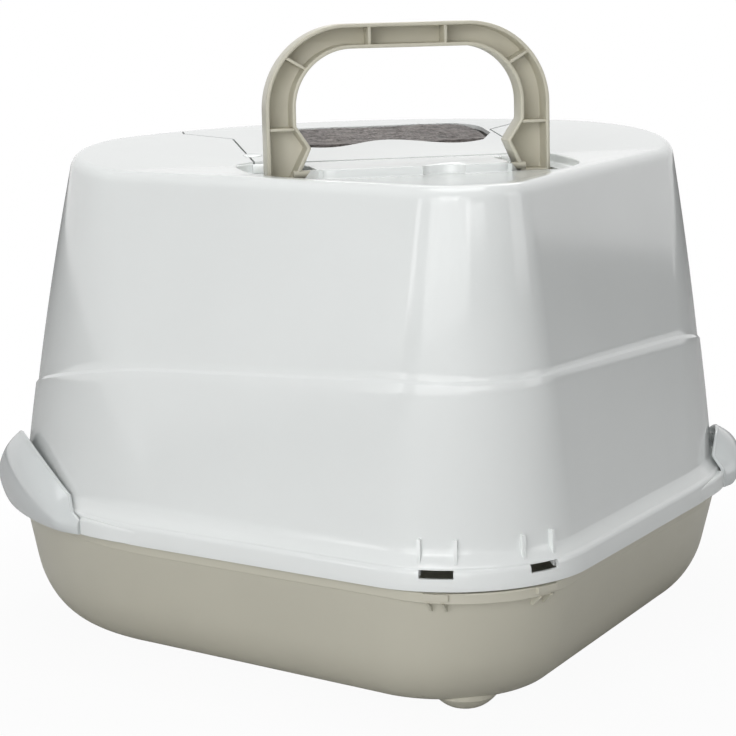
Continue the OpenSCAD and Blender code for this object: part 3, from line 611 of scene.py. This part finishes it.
def vent_outline():
    steps = 48
    reach = vent_half_w - vent_end_r * 0.5
    x = -reach + 2 * reach * np.arange(steps + 1) / steps
    wave = vent_back_y + vent_wave * np.cos(np.radians((x + vent_x - vent_crest_x) * 360 / vent_wave_l))
    r = vent_end_r
    ring = np.vstack([np.column_stack([x, wave]), [(vent_half_w, vent_back_y + r)],
            arc(vent_half_w - r, vent_front_y - r, r, 0, 90, 14),
            arc(-vent_half_w + r, vent_front_y - r, r, 90, 180, 14),
            [(-vent_half_w, vent_back_y + r)]])
    return ring + [vent_x, 0]


def make_lid():
    lid = hood_outside("lid_shell")
    void = hood_inside("void")
    collar = prism_y("collar", door_outline(hood_wall), collar_y, base_front + PAST)
    combine(void, ("cut", collar))
    doorway = prism_y("doorway", door_outline(0), collar_y - PAST, base_front + PAST)
    vent = prism("vent", vent_outline(), roof_z - 10, roof_z + 50)
    barrel = rod("barrel", hinge_y, hinge_z, hinge_r, -tongue_root_half_w + 0.2, tongue_root_half_w - 0.2, 0.5)
    pins = rod("pins", hinge_y, hinge_z, hinge_pin_r, -tongue_root_half_w - hinge_pin_l,
            tongue_root_half_w + hinge_pin_l, 0.4)
    half = 5.0
    lug = block("lug", (door_lug_x, door_y - half, door_pin_z - half),
            (door_lug_x + door_lug_t, door_y + half, door_top_z + 1))
    bore = rod("bore", door_y, door_pin_z, door_pin_r + run_fit, door_lug_x - 1, door_lug_x + door_lug_t + 1)
    combine(lid, ("keep", lid_space("lid_part", hinge_y, hinge_y + hinge_boss_r + 2, 0, sill_z)),
            ("cut", [void, doorway, vent]), ("join", [barrel, pins] + both(lug)), ("cut", both(bore)))
    return smooth(lid)


def make_door():
    rail_r, neck_half_w, shoulder = 3.2, 52.0, door_top_z - 18
    w, low, r = door_half_w - door_gap, door_sill_z + door_gap, door_r - door_gap
    panel = np.vstack([arc(w - 10, low + 10, 10, 0, -90, 8), arc(-w + 10, low + 10, 10, -90, -180, 8),
            arc(-w + r, shoulder - r, r, 180, 96, 16), [(-neck_half_w + 8, door_pin_z)],
            [(neck_half_w - 8, door_pin_z)], arc(w - r, shoulder - r, r, 84, 0, 16)])[::-1]
    door = bevel(prism_y("door_flap", panel, door_y - door_t / 2, door_y + door_t / 2), 0.6, 3)
    rail = rod("rail", door_y, door_pin_z, rail_r, -door_lug_x + 0.4, door_lug_x - 0.4, 0.6)
    pins = rod("pins", door_y, door_pin_z, door_pin_r, -door_lug_x - door_lug_t + 0.4,
            door_lug_x + door_lug_t - 0.4, 0.3)
    rib = bevel(block("rib", (-w + 14, door_y - 2.6, low + 6), (w - 14, door_y + 2.6, low + 10)), 1.2, 4)
    combine(door, ("join", [rail, pins, rib]))
    return smooth(door)


# ---- handle
foot_kink_z, foot_top_z = grip_top_z - 84, grip_top_z - 69
grip_foot_z = grip_pin_z - 5


def grip_outer(k):
    steps = 28
    return np.vstack([[(grip_half_w - k, grip_foot_z + k)],
            arc(grip_half_w - grip_r, grip_top_z - grip_r, grip_r - k, 0, 90, steps)])


def grip_inner(k, low):
    x, r, top = grip_half_w - leg_w + k, grip_r - leg_w + 3 + k, grip_top_z - grip_h + k
    return np.vstack([[(foot_inner_x + 10.5 + k, low), (foot_inner_x + k * 1.1, foot_kink_z),
             (x, foot_top_z)],
            arc(x - r, top - r, r, 0, 90, 24)])


def grip_band(name, k, y0, y1):
    """The bent band of the handle drawn in by k all round, between two places along Y."""
    outer, inner = grip_outer(k), grip_inner(k, grip_foot_z + k)
    ring = np.vstack([outer, outer[-2::-1] * [-1, 1], inner * [-1, 1], inner[-2::-1]])
    return prism_y(name, ring, y0, y1)


def make_handle():
    back_y = -grip_y + grip_depth
    handle = grip_band("handle_channel", 0.0, -grip_y, back_y)
    pocket = grip_band("pocket", grip_wall, -grip_y - PAST, back_y - grip_wall)
    combine(handle, ("cut", pocket))
    bevel(handle, 0.9, 3, 30)
    pin = rod("pin", grip_pin_y, grip_pin_z, grip_pin_r, well_side_x - pivot_plate_t, foot_inner_x + 13)
    combine(handle, ("join", both(pin)))
    return smooth(handle)


# ---- side latches
def latch_rise(shape, p):
    q = 0.5 * p / shape[2] if p < shape[2] else 0.5 + 0.5 * (p - shape[2]) / (1 - shape[2])
    return latch_end_h + (shape[1] - latch_end_h) * math.sin(math.pi * q) ** shape[3]


def latch_point(shape, p, h, inset, lift=0.0):
    """A point of a latch: p runs along it from 0 to 1, h up it from 0 to 1."""
    fx = base_half_w - base_front_corner_r
    fy = base_front - base_front_r + math.sqrt((base_front_r - base_front_corner_r) ** 2 - fx * fx)
    back_l = base_side_r * math.radians(latch_back_turn)
    past = p * (back_l + shape[0]) - back_l
    r, cx, cy = (base_side_r, side_cx, side_cy) if past < 0 else (base_front_corner_r, fx, fy)
    rise, near_out, flare = latch_rise(shape, p), rim_out + latch_t + 0.8, ease(p / 0.14)
    low_out = near_out + (latch_low_out - near_out) * flare
    high_out = near_out + (4.5 + rise / 25 - near_out) * min(1, max(0, (rise - 14) / 8))
    out = low_out + (high_out - low_out) * h ** 5 + latch_bow * flare * math.sin(math.pi * h ** 0.8) - inset
    a = past / r
    return (cx + (r + out) * math.cos(a), cy + (r + out) * math.sin(a), rim_z + rise * h + lift)


def make_latch(name, shape):
    """A bowed latch: an even wall with a rounded top edge, two ribs and two pins."""
    rows, cols, end_cut = 26, 90, 0.03
    half = latch_t / 2
    section = [(h, 0.0, 0.0) for h in np.linspace(0, 1, rows)]
    section += [(1.0, half - half * math.cos(a), half * math.sin(a) * 0.6)
            for a in np.radians([30, 60, 90, 120, 150])]
    section += [(h, latch_t, 0.0) for h in np.linspace(1, 0, rows)]
    ps = [end_cut + (1 - 2 * end_cut) * (1 - math.cos(math.pi * i / cols)) / 2 for i in range(cols + 1)]
    points = [latch_point(shape, p, h, inset, lift) for p in ps for h, inset, lift in section]
    m = len(section)
    faces = [[i * m + j, i * m + (j + 1) % m, (i + 1) * m + (j + 1) % m, (i + 1) * m + j]
            for i in range(cols) for j in range(m)]
    faces += [list(range(m)), list(range(cols * m, (cols + 1) * m))[::-1]]
    skin = outward(new_piece(name, points, faces))
    rib_t, rib_h, rib_v, rib_end = 3.0, 7.0, latch_lug_v - 6, latch_low_out - 1
    ribs = [block("rib", (latch_pin_u - 1.2, side * rib_v - rib_t / 2, latch_pin_z - latch_pin_r),
                  (rib_end, side * rib_v + rib_t / 2, latch_pin_z - latch_pin_r + rib_h), latch_place())
            for side in (-1, 1)]
    pins = [latch_rod("pin", side * (rib_v - 1), latch_pin_r, 9, side) for side in (-1, 1)]
    combine(skin, ("join", ribs + pins))
    return smooth(skin)


# ---- repeated details, by Geometry Nodes
class Tree:
    """Builds a node tree: one call adds a node, with its settings first and then its inputs."""

    def __init__(self, tree):
        self.tree = tree

    def node(self, kind, settings=None, **inputs):
        made = self.tree.nodes.new(kind)
        for key, value in (settings or {}).items():
            setattr(made, key, value)
        for key, value in inputs.items():
            self.feed(made, key, value)
        return made

    def feed(self, made, key, value):
        socket = made.inputs[int(key[1:])] if key[0] == "i" and key[1:].isdigit() else \
            next(s for s in made.inputs if s.name.lower().replace(" ", "_") == key and s.enabled)
        value = getattr(value, "socket", value)
        value = value.outputs[0] if isinstance(value, bpy.types.Node) else value
        if isinstance(value, bpy.types.NodeSocket):
            self.tree.links.new(value, socket)
        elif value is not None:
            socket.default_value = value


def open_group(name, **inputs):
    """A Geometry Nodes group with a mesh, the named inputs and a material going in and a mesh coming out."""
    group = bpy.data.node_groups.new(name, "GeometryNodeTree")
    face = group.interface
    face.new_socket("Geometry", in_out="INPUT", socket_type="NodeSocketGeometry")
    for key, value in inputs.items():
        kind = "NodeSocketInt" if isinstance(value, int) else "NodeSocketFloat"
        face.new_socket(key, in_out="INPUT", socket_type=kind).default_value = value
    face.new_socket("Material", in_out="INPUT", socket_type="NodeSocketMaterial")
    face.new_socket("Geometry", in_out="OUTPUT", socket_type="NodeSocketGeometry")
    t = Tree(group)
    return group, t, t.node("NodeGroupInput").outputs


def close_group(t, instances, material):
    real = t.node("GeometryNodeRealizeInstances", geometry=instances)
    done = t.node("GeometryNodeSetMaterial", geometry=real, material=material)
    t.node("NodeGroupOutput", geometry=done)


def bar_tree():
    """Boxes on the mesh's points, turned and stretched by the points' own attributes."""
    group, t, given = open_group("Bars on points", Thickness=2 * MM, Depth=10 * MM)
    size = t.node("ShaderNodeCombineXYZ", x=1.0, y=given["Depth"], z=given["Thickness"])
    cube = t.node("GeometryNodeMeshCube", size=size)
    turn = t.node("GeometryNodeInputNamedAttribute", {"data_type": "FLOAT"}, name="turn")
    length = t.node("GeometryNodeInputNamedAttribute", {"data_type": "FLOAT"}, name="length")
    angles = t.node("ShaderNodeCombineXYZ", y=turn)
    scale = t.node("ShaderNodeCombineXYZ", x=length, y=1.0, z=1.0)
    points = t.node("GeometryNodeMeshToPoints", mesh=given["Geometry"])
    bars = t.node("GeometryNodeInstanceOnPoints", points=points, instance=cube,
            rotation=angles, scale=scale)
    close_group(t, bars, given["Material"])
    return group


def fibre_tree():
    """Short bent fibres scattered over the felt with a fixed seed."""
    group, t, given = open_group("Felt fibres", Length=5 * MM, Radius=0.06 * MM, Density=0.0, Seed=3)
    spread = t.node("GeometryNodeDistributePointsOnFaces", mesh=given["Geometry"], density=given["Density"],
            seed=given["Seed"])
    end = t.node("ShaderNodeCombineXYZ", x=given["Length"])
    middle = t.node("ShaderNodeVectorMath", {"operation": "MULTIPLY"}, i0=end, i1=(0.5, 0.5, 0.5))
    bent = t.node("ShaderNodeVectorMath", {"operation": "ADD"}, i0=middle,
            i1=(0.0, 0.6 * MM, 0.35 * MM))
    line = t.node("GeometryNodeCurveQuadraticBezier", resolution=4, start=(0.0, 0.0, 0.0),
            middle=bent, end=end)
    ring = t.node("GeometryNodeCurvePrimitiveCircle", resolution=3, radius=given["Radius"])
    fibre = t.node("GeometryNodeCurveToMesh", curve=line, profile_curve=ring)
    turn = t.node("FunctionNodeRandomValue", {"data_type": "FLOAT_VECTOR"}, i0=(-0.25, -0.25, 0.0),
            i1=(0.25, 0.25, 2 * math.pi), seed=given["Seed"])
    stretch = t.node("FunctionNodeRandomValue", {"data_type": "FLOAT"}, i2=0.4, i3=1.3, seed=11)
    fibres = t.node("GeometryNodeInstanceOnPoints", points=spread, instance=fibre,
            rotation=turn, scale=stretch.outputs[1])
    close_group(t, fibres, given["Material"])
    return group


def grow_nodes(piece, group, **values):
    """Runs a tree on a piece and keeps its result as a plain mesh."""
    mod = piece.modifiers.new("grow", "NODES")
    mod.node_group = group
    for item in group.interface.items_tree:
        key = item.name.lower()
        if item.in_out == "INPUT" and key in values:
            mod[item.identifier] = values[key]
    return baked(piece)


def bars(name, spans, y, group, thickness, depth, material):
    """One bar for each span between two points of the X and Z plane, all at the same y."""
    mids, turns, lengths = [], [], []
    for (x0, z0), (x1, z1) in spans:
        mids.append(((x0 + x1) / 2, y, (z0 + z1) / 2))
        turns.append(-math.atan2(z1 - z0, x1 - x0))
        lengths.append(math.hypot(x1 - x0, z1 - z0) * MM)
    piece = new_piece(name, mids, [])
    for key, values in (("turn", turns), ("length", lengths)):
        piece.data.attributes.new(key, "FLOAT", "POINT").data.foreach_set("value", values)
    return grow_nodes(piece, group, thickness=thickness * MM, depth=depth * MM, material=material)


# ---- materials
class Value:
    """A shader socket that can be added, multiplied and so on in plain expressions."""

    def __init__(self, tree, socket):
        self.tree, self.socket = tree, socket  # the socket may be a node, which stands for its first output

    def maths(self, operation, other):
        made = self.tree.node("ShaderNodeMath", {"operation": operation}, i0=self, i1=other)
        return Value(self.tree, made)

    def __add__(self, other):
        return self.maths("ADD", other)

    __radd__ = __add__

    def __mul__(self, other):
        return self.maths("MULTIPLY", other)

    def band(self, low, high):
        made = self.tree.node("ShaderNodeMapRange", {"interpolation_type": "SMOOTHSTEP"}, value=self,
                from_min=low, from_max=high)
        return Value(self.tree, made)


class Finish(Tree):
    """A material with one Principled shader and the textures that feed it."""

    def __init__(self, name, colour, roughness, **constants):
        self.material = bpy.data.materials.new(name)
        self.material.use_nodes = True
        super().__init__(self.material.node_tree)
        self.shader = self.tree.nodes["Principled BSDF"]
        self.set(base_color=(*colour, 1), roughness=roughness, **constants)
        self.place = self.node("ShaderNodeTexCoord").outputs["Object"]

    def set(self, **inputs):
        for key, value in inputs.items():
            self.feed(self.shader, key, value)

    def noise(self, scale, detail=3.0, roughness=0.5, stretch=None, distortion=0.0):
        where = self.place
        if stretch:
            where = self.node("ShaderNodeMapping", vector=self.place, scale=stretch)
        made = self.node("ShaderNodeTexNoise", vector=where, scale=scale, detail=detail, roughness=roughness,
                distortion=distortion)
        return Value(self, made)

    def mix(self, factor, first, second):
        made = self.node("ShaderNodeMix", {"data_type": "RGBA"}, i0=factor, i6=first, i7=second)
        return made.outputs[2]

    def bump(self, height, distance, strength=1.0):
        made = self.node("ShaderNodeBump", height=height, distance=distance * MM, strength=strength)
        self.set(normal=made)


def srgb(r, g, b):
    """A linear colour from screen values of 0 to 255."""
    return tuple(((c / 255 + 0.055) / 1.055) ** 2.4 if c > 10 else c / 3294.6 for c in (r, g, b))


def moulded(name, colour, roughness, shade=0.03, peel=0.03, grain=0.0, **constants):
    """Moulded plastic: a faint uneven tone, uneven gloss, and the slight waviness of a polished mould."""
    f = Finish(name, colour, roughness, **constants)
    broad = f.noise(9.0, 2.0)
    fine = f.noise(260.0, 2.0)
    darker = tuple(c * (1 - shade) for c in colour)
    f.set(base_color=f.mix(broad.band(0.3, 0.7), (*colour, 1), (*darker, 1)))
    f.set(roughness=broad * 0.05 + fine * 0.03 + (roughness - 0.04))
    height = f.noise(55.0, 1.0)
    if grain:
        height = height * 0.4 + f.noise(900.0, 2.0) * grain
    f.bump(height, peel)
    return f.material


def felt():
    """Needled felt: matted fibres of several greys, with darker cloudy patches."""
    f = Finish("Needled felt", srgb(120, 114, 111), 0.95, sheen_weight=0.25, sheen_roughness=0.6)
    long = f.noise(260.0, 4.0, 0.65, stretch=(0.22, 1.0, 1.0), distortion=0.6)
    cross = f.noise(420.0, 3.0, 0.6, stretch=(1.0, 0.35, 1.0), distortion=0.4)
    clouds = f.noise(38.0, 3.0)
    mat = long * 0.6 + cross * 0.4
    tone = f.mix(mat.band(0.32, 0.68), (*srgb(70, 66, 65), 1), (*srgb(158, 151, 147), 1))
    f.set(base_color=f.mix(clouds.band(0.35, 0.75) * 0.35, tone, (*srgb(96, 90, 88), 1)))
    f.set(roughness=0.85 + cross * 0.12)
    f.bump(mat + clouds * 0.4, 0.9)
    return f.material


def floor_finish():
    """Plain pale floor that reads white to the camera and keeps the object's shadow."""
    f = Finish("Studio floor", (0.6, 0.6, 0.6), 0.9)
    seen = f.node("ShaderNodeLightPath")
    glow = f.node("ShaderNodeEmission", color=(1, 1, 1, 1), strength=1.0)
    away = f.node("ShaderNodeVectorMath", {"operation": "LENGTH"}, i0=f.place).outputs["Value"]
    part = Value(f, seen.outputs["Is Camera Ray"]) * (Value(f, away).band(0.3, 0.7) * 0.05 + 0.95)
    blend = f.node("ShaderNodeMixShader", i0=part, i1=f.shader, i2=glow)
    out = next(n for n in f.tree.nodes if n.type == "OUTPUT_MATERIAL")
    f.tree.links.new(blend.outputs[0], out.inputs[0])
    return f.material


hood_white = moulded("White moulded plastic", srgb(237, 240, 239), 0.11, 0.02, 0.015)
latch_white = moulded("Latch plastic", srgb(213, 217, 217), 0.14, 0.03, 0.02)
taupe = moulded("Warm grey tray plastic", srgb(200, 197, 182), 0.42, 0.04, 0.03, grain=0.5)
grip_taupe = moulded("Warm grey handle plastic", srgb(204, 200, 183), 0.34, 0.10, 0.05, grain=0.3)
grille_white = moulded("Grille plastic", srgb(228, 230, 229), 0.4, 0.03, 0.03)
smoke = moulded("Smoke plastic", srgb(188, 194, 194), 0.2, 0.03, 0.02, transmission_weight=0.55)
felt_grey = felt()


# ---- making the pieces
def finish_piece(piece, material, body, slot, *nodes):
    """Gives a piece its material and its body, and hides the solids it stands for; the slot is not used."""
    piece.data.materials.clear()
    piece.data.materials.append(material)
    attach(piece, body)
    if nodes:
        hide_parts(*nodes)
    return piece


finish_piece(make_tray(), taupe, "tray", "tray_plastic", "tray")
finish_piece(make_hood(), hood_white, "hood", "hood_plastic", "hood")
finish_piece(make_lid(), hood_white, "front_lid", "lid_plastic", "front_lid")
finish_piece(make_door(), smoke, "swing_door", "door_plastic", "swing_door")
finish_piece(make_handle(), grip_taupe, "handle", "handle_plastic", "handle")
right_latch = make_latch("latch_lever_right", right_shape)
left_model = make_latch("left_model", left_shape)
left_latch = smooth(mirror_x(left_model, "latch_lever_left"))
bpy.data.objects.remove(left_model)
finish_piece(right_latch, latch_white, "latch_right", "latch_plastic", "latch_right")
finish_piece(left_latch, latch_white, "latch_left", "latch_plastic", "latch_left")



def rib_spans():
    """Where the ribs cross the handle's channel: on each leg, each bend and each half of the grip."""
    wall, elbow, inner_r = grip_wall / 2, math.radians(40), grip_r - leg_w + 3
    across = np.array([math.cos(elbow), math.sin(elbow)])
    inner = np.array([grip_half_w - leg_w - inner_r, grip_top_z - grip_h - inner_r])
    outer = np.array([grip_half_w - grip_r, grip_top_z - grip_r])
    leg_z, grip_x = foot_top_z - 2, 27
    spans = [((grip_half_w - leg_w + wall, leg_z), (grip_half_w - wall, leg_z)),
            (inner + (inner_r + wall) * across, outer + (grip_r - wall) * across),
            ((grip_x, grip_top_z - grip_h + wall), (grip_x, grip_top_z - wall))]
    return spans + [((-a[0], a[1]), (-b[0], b[1])) for a, b in spans]


bar_nodes = bar_tree()
rib_depth = grip_depth - grip_wall
ribs = bars("handle_ribs", rib_spans(), -grip_y + 1.2 + rib_depth / 2, bar_nodes, 2.0, rib_depth, grip_taupe)
finish_piece(smooth(bevel(ribs, 0.35)), grip_taupe, "handle", "handle_plastic")


def under_lid():
    """The place of what hangs under the lid, level with its sloping underside."""
    return (at(0, hinge_y - 6, roof_z) @ Matrix.Rotation(math.atan(roof_rise), 4, "X")
            @ at(vent_x, 0, -hood_wall))


grille_half_w, grille_back, grille_front, grille_edge = pad_half_w + 4, pad_back - 4, pad_front + 4, 5.0
grille_low, post_r = -pad_t - 0.4 - grille_t, 1.7


def make_grille_frame():
    """The frame that carries the pad, with a post at each corner."""
    edge = grille_edge
    frame = block("grille_frame", (-grille_half_w, grille_back, grille_low),
            (grille_half_w, grille_front, grille_low + grille_t))
    window = block("window", (-grille_half_w + edge, grille_back + edge, grille_low - 1),
            (grille_half_w - edge, grille_front - edge, grille_low + grille_t + 1))
    combine(frame, ("cut", window))
    bevel(frame, 0.5)
    posts = [turned("post", [(post_r, 0), (post_r, -grille_low - 0.04)],
                   at(side * (grille_half_w - post_r), y, grille_low), 24)
            for side in (-1, 1) for y in (grille_back + post_r, grille_front - post_r)]
    combine(frame, ("join", posts))
    return smooth(move(frame, under_lid()))


def make_grille_bars():
    reach = grille_half_w - grille_edge
    xs = np.arange(-grille_half_w + grille_edge + grille_pitch - 1.5, reach - 3, grille_pitch)
    spans = [((x, grille_low + 0.1), (x, grille_low + grille_t - 0.1)) for x in xs]
    row = bars("grille_bars", spans, (grille_back + grille_front) / 2, bar_nodes, 3.0,
            grille_front - grille_back - 2 * grille_edge + 0.4, grille_white)
    return smooth(move(bevel(row, 0.35), under_lid()))


finish_piece(make_grille_frame(), grille_white, "front_lid", "grille_plastic", "filter_grille")
finish_piece(make_grille_bars(), grille_white, "front_lid", "grille_plastic")


def depth_inside(points, ring):
    """How far each point lies inside a closed outline, and 0 outside it."""
    ends = np.roll(ring, -1, axis=0)
    step = ends - ring
    apart = points[:, None] - ring[None]
    along = np.clip((apart * step).sum(2) / (step ** 2).sum(1), 0, 1)
    gap = np.linalg.norm(apart - along[..., None] * step, axis=2).min(1)
    above = (ring[:, 1] > points[:, 1:]) != (ends[:, 1] > points[:, 1:])
    cross = ring[:, 0] + (points[:, 1:] - ring[:, 1]) * step[:, 0] / np.where(step[:, 1] == 0, 1e-9, step[:, 1])
    within = (above & (points[:, :1] < cross)).sum(1) % 2 == 1
    return np.where(within, gap, 0)


def make_pad():
    """The felt pad: a soft-edged slab with a scalloped near edge, whose far half swells into the opening."""
    nx, ny = 150, 84
    gx, gy = np.meshgrid(np.linspace(-pad_half_w, pad_half_w, nx), np.linspace(pad_back, pad_front, ny),
            indexing="ij")
    across = (gy - pad_back) / (pad_front - pad_back)
    pull = sum(d * np.exp(-((gx - x0) / w) ** 2) for x0, w, d in ((-42.0, 26.0, 18.0), (58.0, 22.0, 15.0)))
    gy = gy + pull * (1 - across) ** 1.5
    waves = sum(a * np.sin(gx * fx + gy * fy + ph) for a, fx, fy, ph in
            ((0.35, 0.05, 0.03, 0.4), (0.25, 0.11, -0.07, 1.7), (0.18, -0.19, 0.13, 2.9),
             (0.10, 0.31, 0.27, 0.8)))
    edge = np.minimum(np.minimum(gx + pad_half_w, pad_half_w - gx), np.minimum(gy - pad_back, pad_front - gy))
    round_off = 1.8 * (1 - np.sqrt(1 - (1 - np.clip(edge / 3.0, 0, 1)) ** 2))
    inside = depth_inside(np.column_stack([gx.ravel(), gy.ravel()]), vent_outline() - [vent_x, hinge_y - 6])
    mask = np.clip((inside.reshape(nx, ny) - 0.8) / 1.6, 0, 1)
    swell = 3.6 * mask * np.clip((gy - 112) / 30, 0, 1) ** 1.4
    top = -0.9 - round_off + waves * 0.6 + swell - 0.2 * pull * (1 - across) ** 2
    low = -pad_t + 0.2 + round_off + waves * 0.2 + 0.3
    points = np.vstack([np.column_stack([gx.ravel(), gy.ravel(), top.ravel()]),
            np.column_stack([gx.ravel(), gy.ravel(), low.ravel()])])
    n = nx * ny
    faces = []
    for i in range(nx - 1):
        for j in range(ny - 1):
            a = i * ny + j
            faces.append([a, a + ny, a + ny + 1, a + 1])
            faces.append([n + a, n + a + 1, n + a + ny + 1, n + a + ny])
    rim = [i * ny for i in range(nx)] + [(nx - 1) * ny + j for j in range(1, ny)] \
        + [i * ny + ny - 1 for i in range(nx - 2, -1, -1)] + [j for j in range(ny - 2, 0, -1)]
    faces += [[a, n + a, n + b, b] for a, b in zip(rim, rim[1:] + rim[:1])]
    pad = outward(new_piece("felt_pad", points, faces))
    return move(pad, under_lid())


pad = make_pad()
fibres = pad.copy()
fibres.data = pad.data.copy()
fibres.name = "felt_fibres"
bpy.context.scene.collection.objects.link(fibres)
grow_nodes(fibres, fibre_tree(), length=5.5 * MM, radius=0.07 * MM, density=180000.0, seed=5, material=felt_grey)
finish_piece(smooth(pad, 60), felt_grey, "front_lid", "filter_felt", "filter_pad")
finish_piece(smooth(fibres, 60), felt_grey, "front_lid", "filter_felt")

# ---- studio
floor = new_piece("studio_floor", [(-9000, -9000, 0), (9000, -9000, 0), (9000, 9000, 0), (-9000, 9000, 0)],
        [[0, 1, 2, 3]])
floor.data.materials.append(floor_finish())


def soft_box(name, place, aim, width, height, power):
    """A lamp of a size in metres and a power in watts, turned to its aim."""
    lamp = bpy.data.lights.new(name, "AREA")
    lamp.shape = "RECTANGLE"
    lamp.size, lamp.size_y, lamp.energy = width, height, power
    holder = bpy.data.objects.new(name, lamp)
    bpy.context.scene.collection.objects.link(holder)
    holder.location = place
    holder.rotation_euler = (Vector(aim) - Vector(place)).to_track_quat("-Z", "Y").to_euler()


soft_box("key_left", (-1.5, -2.3, 1.3), (0, 0, 0.2), 1.4, 1.4, 14)
soft_box("key_low", (-1.4, -2.3, 0.78), (0, 0, 0.2), 3.0, 1.5, 29)
soft_box("top", (-0.1, 0.0, 2.4), (0, 0, 0.2), 1.6, 1.6, 27)
soft_box("fill_right", (2.4, -0.9, 0.9), (0, 0, 0.2), 1.2, 1.6, 8.5)
soft_box("fill_front", (0.7, 2.2, 1.9), (0, 0.1, 0.1), 1.4, 1.0, 11)
# two small lamps whose reflections stand for a room's windows
soft_box("window_near", (-2.4, -0.52, 0.48), (0, -0.2, 0.33), 0.3, 0.5, 1.2)
soft_box("window_far", (0.2, -2.6, 0.41), (0, -0.2, 0.33), 1.2, 0.2, 2.0)

world = bpy.data.worlds.new("Studio")
bpy.context.scene.world = world
world.use_nodes = True
w_tree = Tree(world.node_tree)
paths = w_tree.node("ShaderNodeLightPath")
back = world.node_tree.nodes["Background"]
shown = Value(w_tree, paths.outputs["Is Camera Ray"]).maths("MAXIMUM", paths.outputs["Is Glossy Ray"])
shown = shown.maths("MAXIMUM", paths.outputs["Is Transmission Ray"])
level = w_tree.node("ShaderNodeMapRange", value=shown, to_min=0.08, to_max=1.0)
back.inputs["Color"].default_value = (1, 1, 1, 1)
world.node_tree.links.new(level.outputs[0], back.inputs["Strength"])

# ---- camera at the photograph's place
turn_a, dip, roll = math.radians(-12.05), math.radians(9.81), math.radians(-1.38)
ahead = Vector((-math.sin(turn_a) * math.cos(dip), math.cos(turn_a) * math.cos(dip), -math.sin(dip)))
right = Vector((math.cos(turn_a), math.sin(turn_a), 0))
up = right.cross(ahead)
right_r = math.cos(roll) * right + math.sin(roll) * up
up_r = -math.sin(roll) * right + math.cos(roll) * up
lens = bpy.data.cameras.new("camera")
lens.lens, lens.sensor_width, lens.shift_x = 106.92, 36.0, -0.01268
lens.clip_start, lens.clip_end = 0.05, 60
camera = bpy.data.objects.new("camera", lens)
bpy.context.scene.collection.objects.link(camera)
camera.matrix_world = at(-0.3444, -1.5188, 0.4713) @ Matrix(
    (right_r, up_r, -ahead)).transposed().to_4x4()
bpy.context.scene.camera = camera
bpy.context.scene.view_settings.view_transform = "Standard"
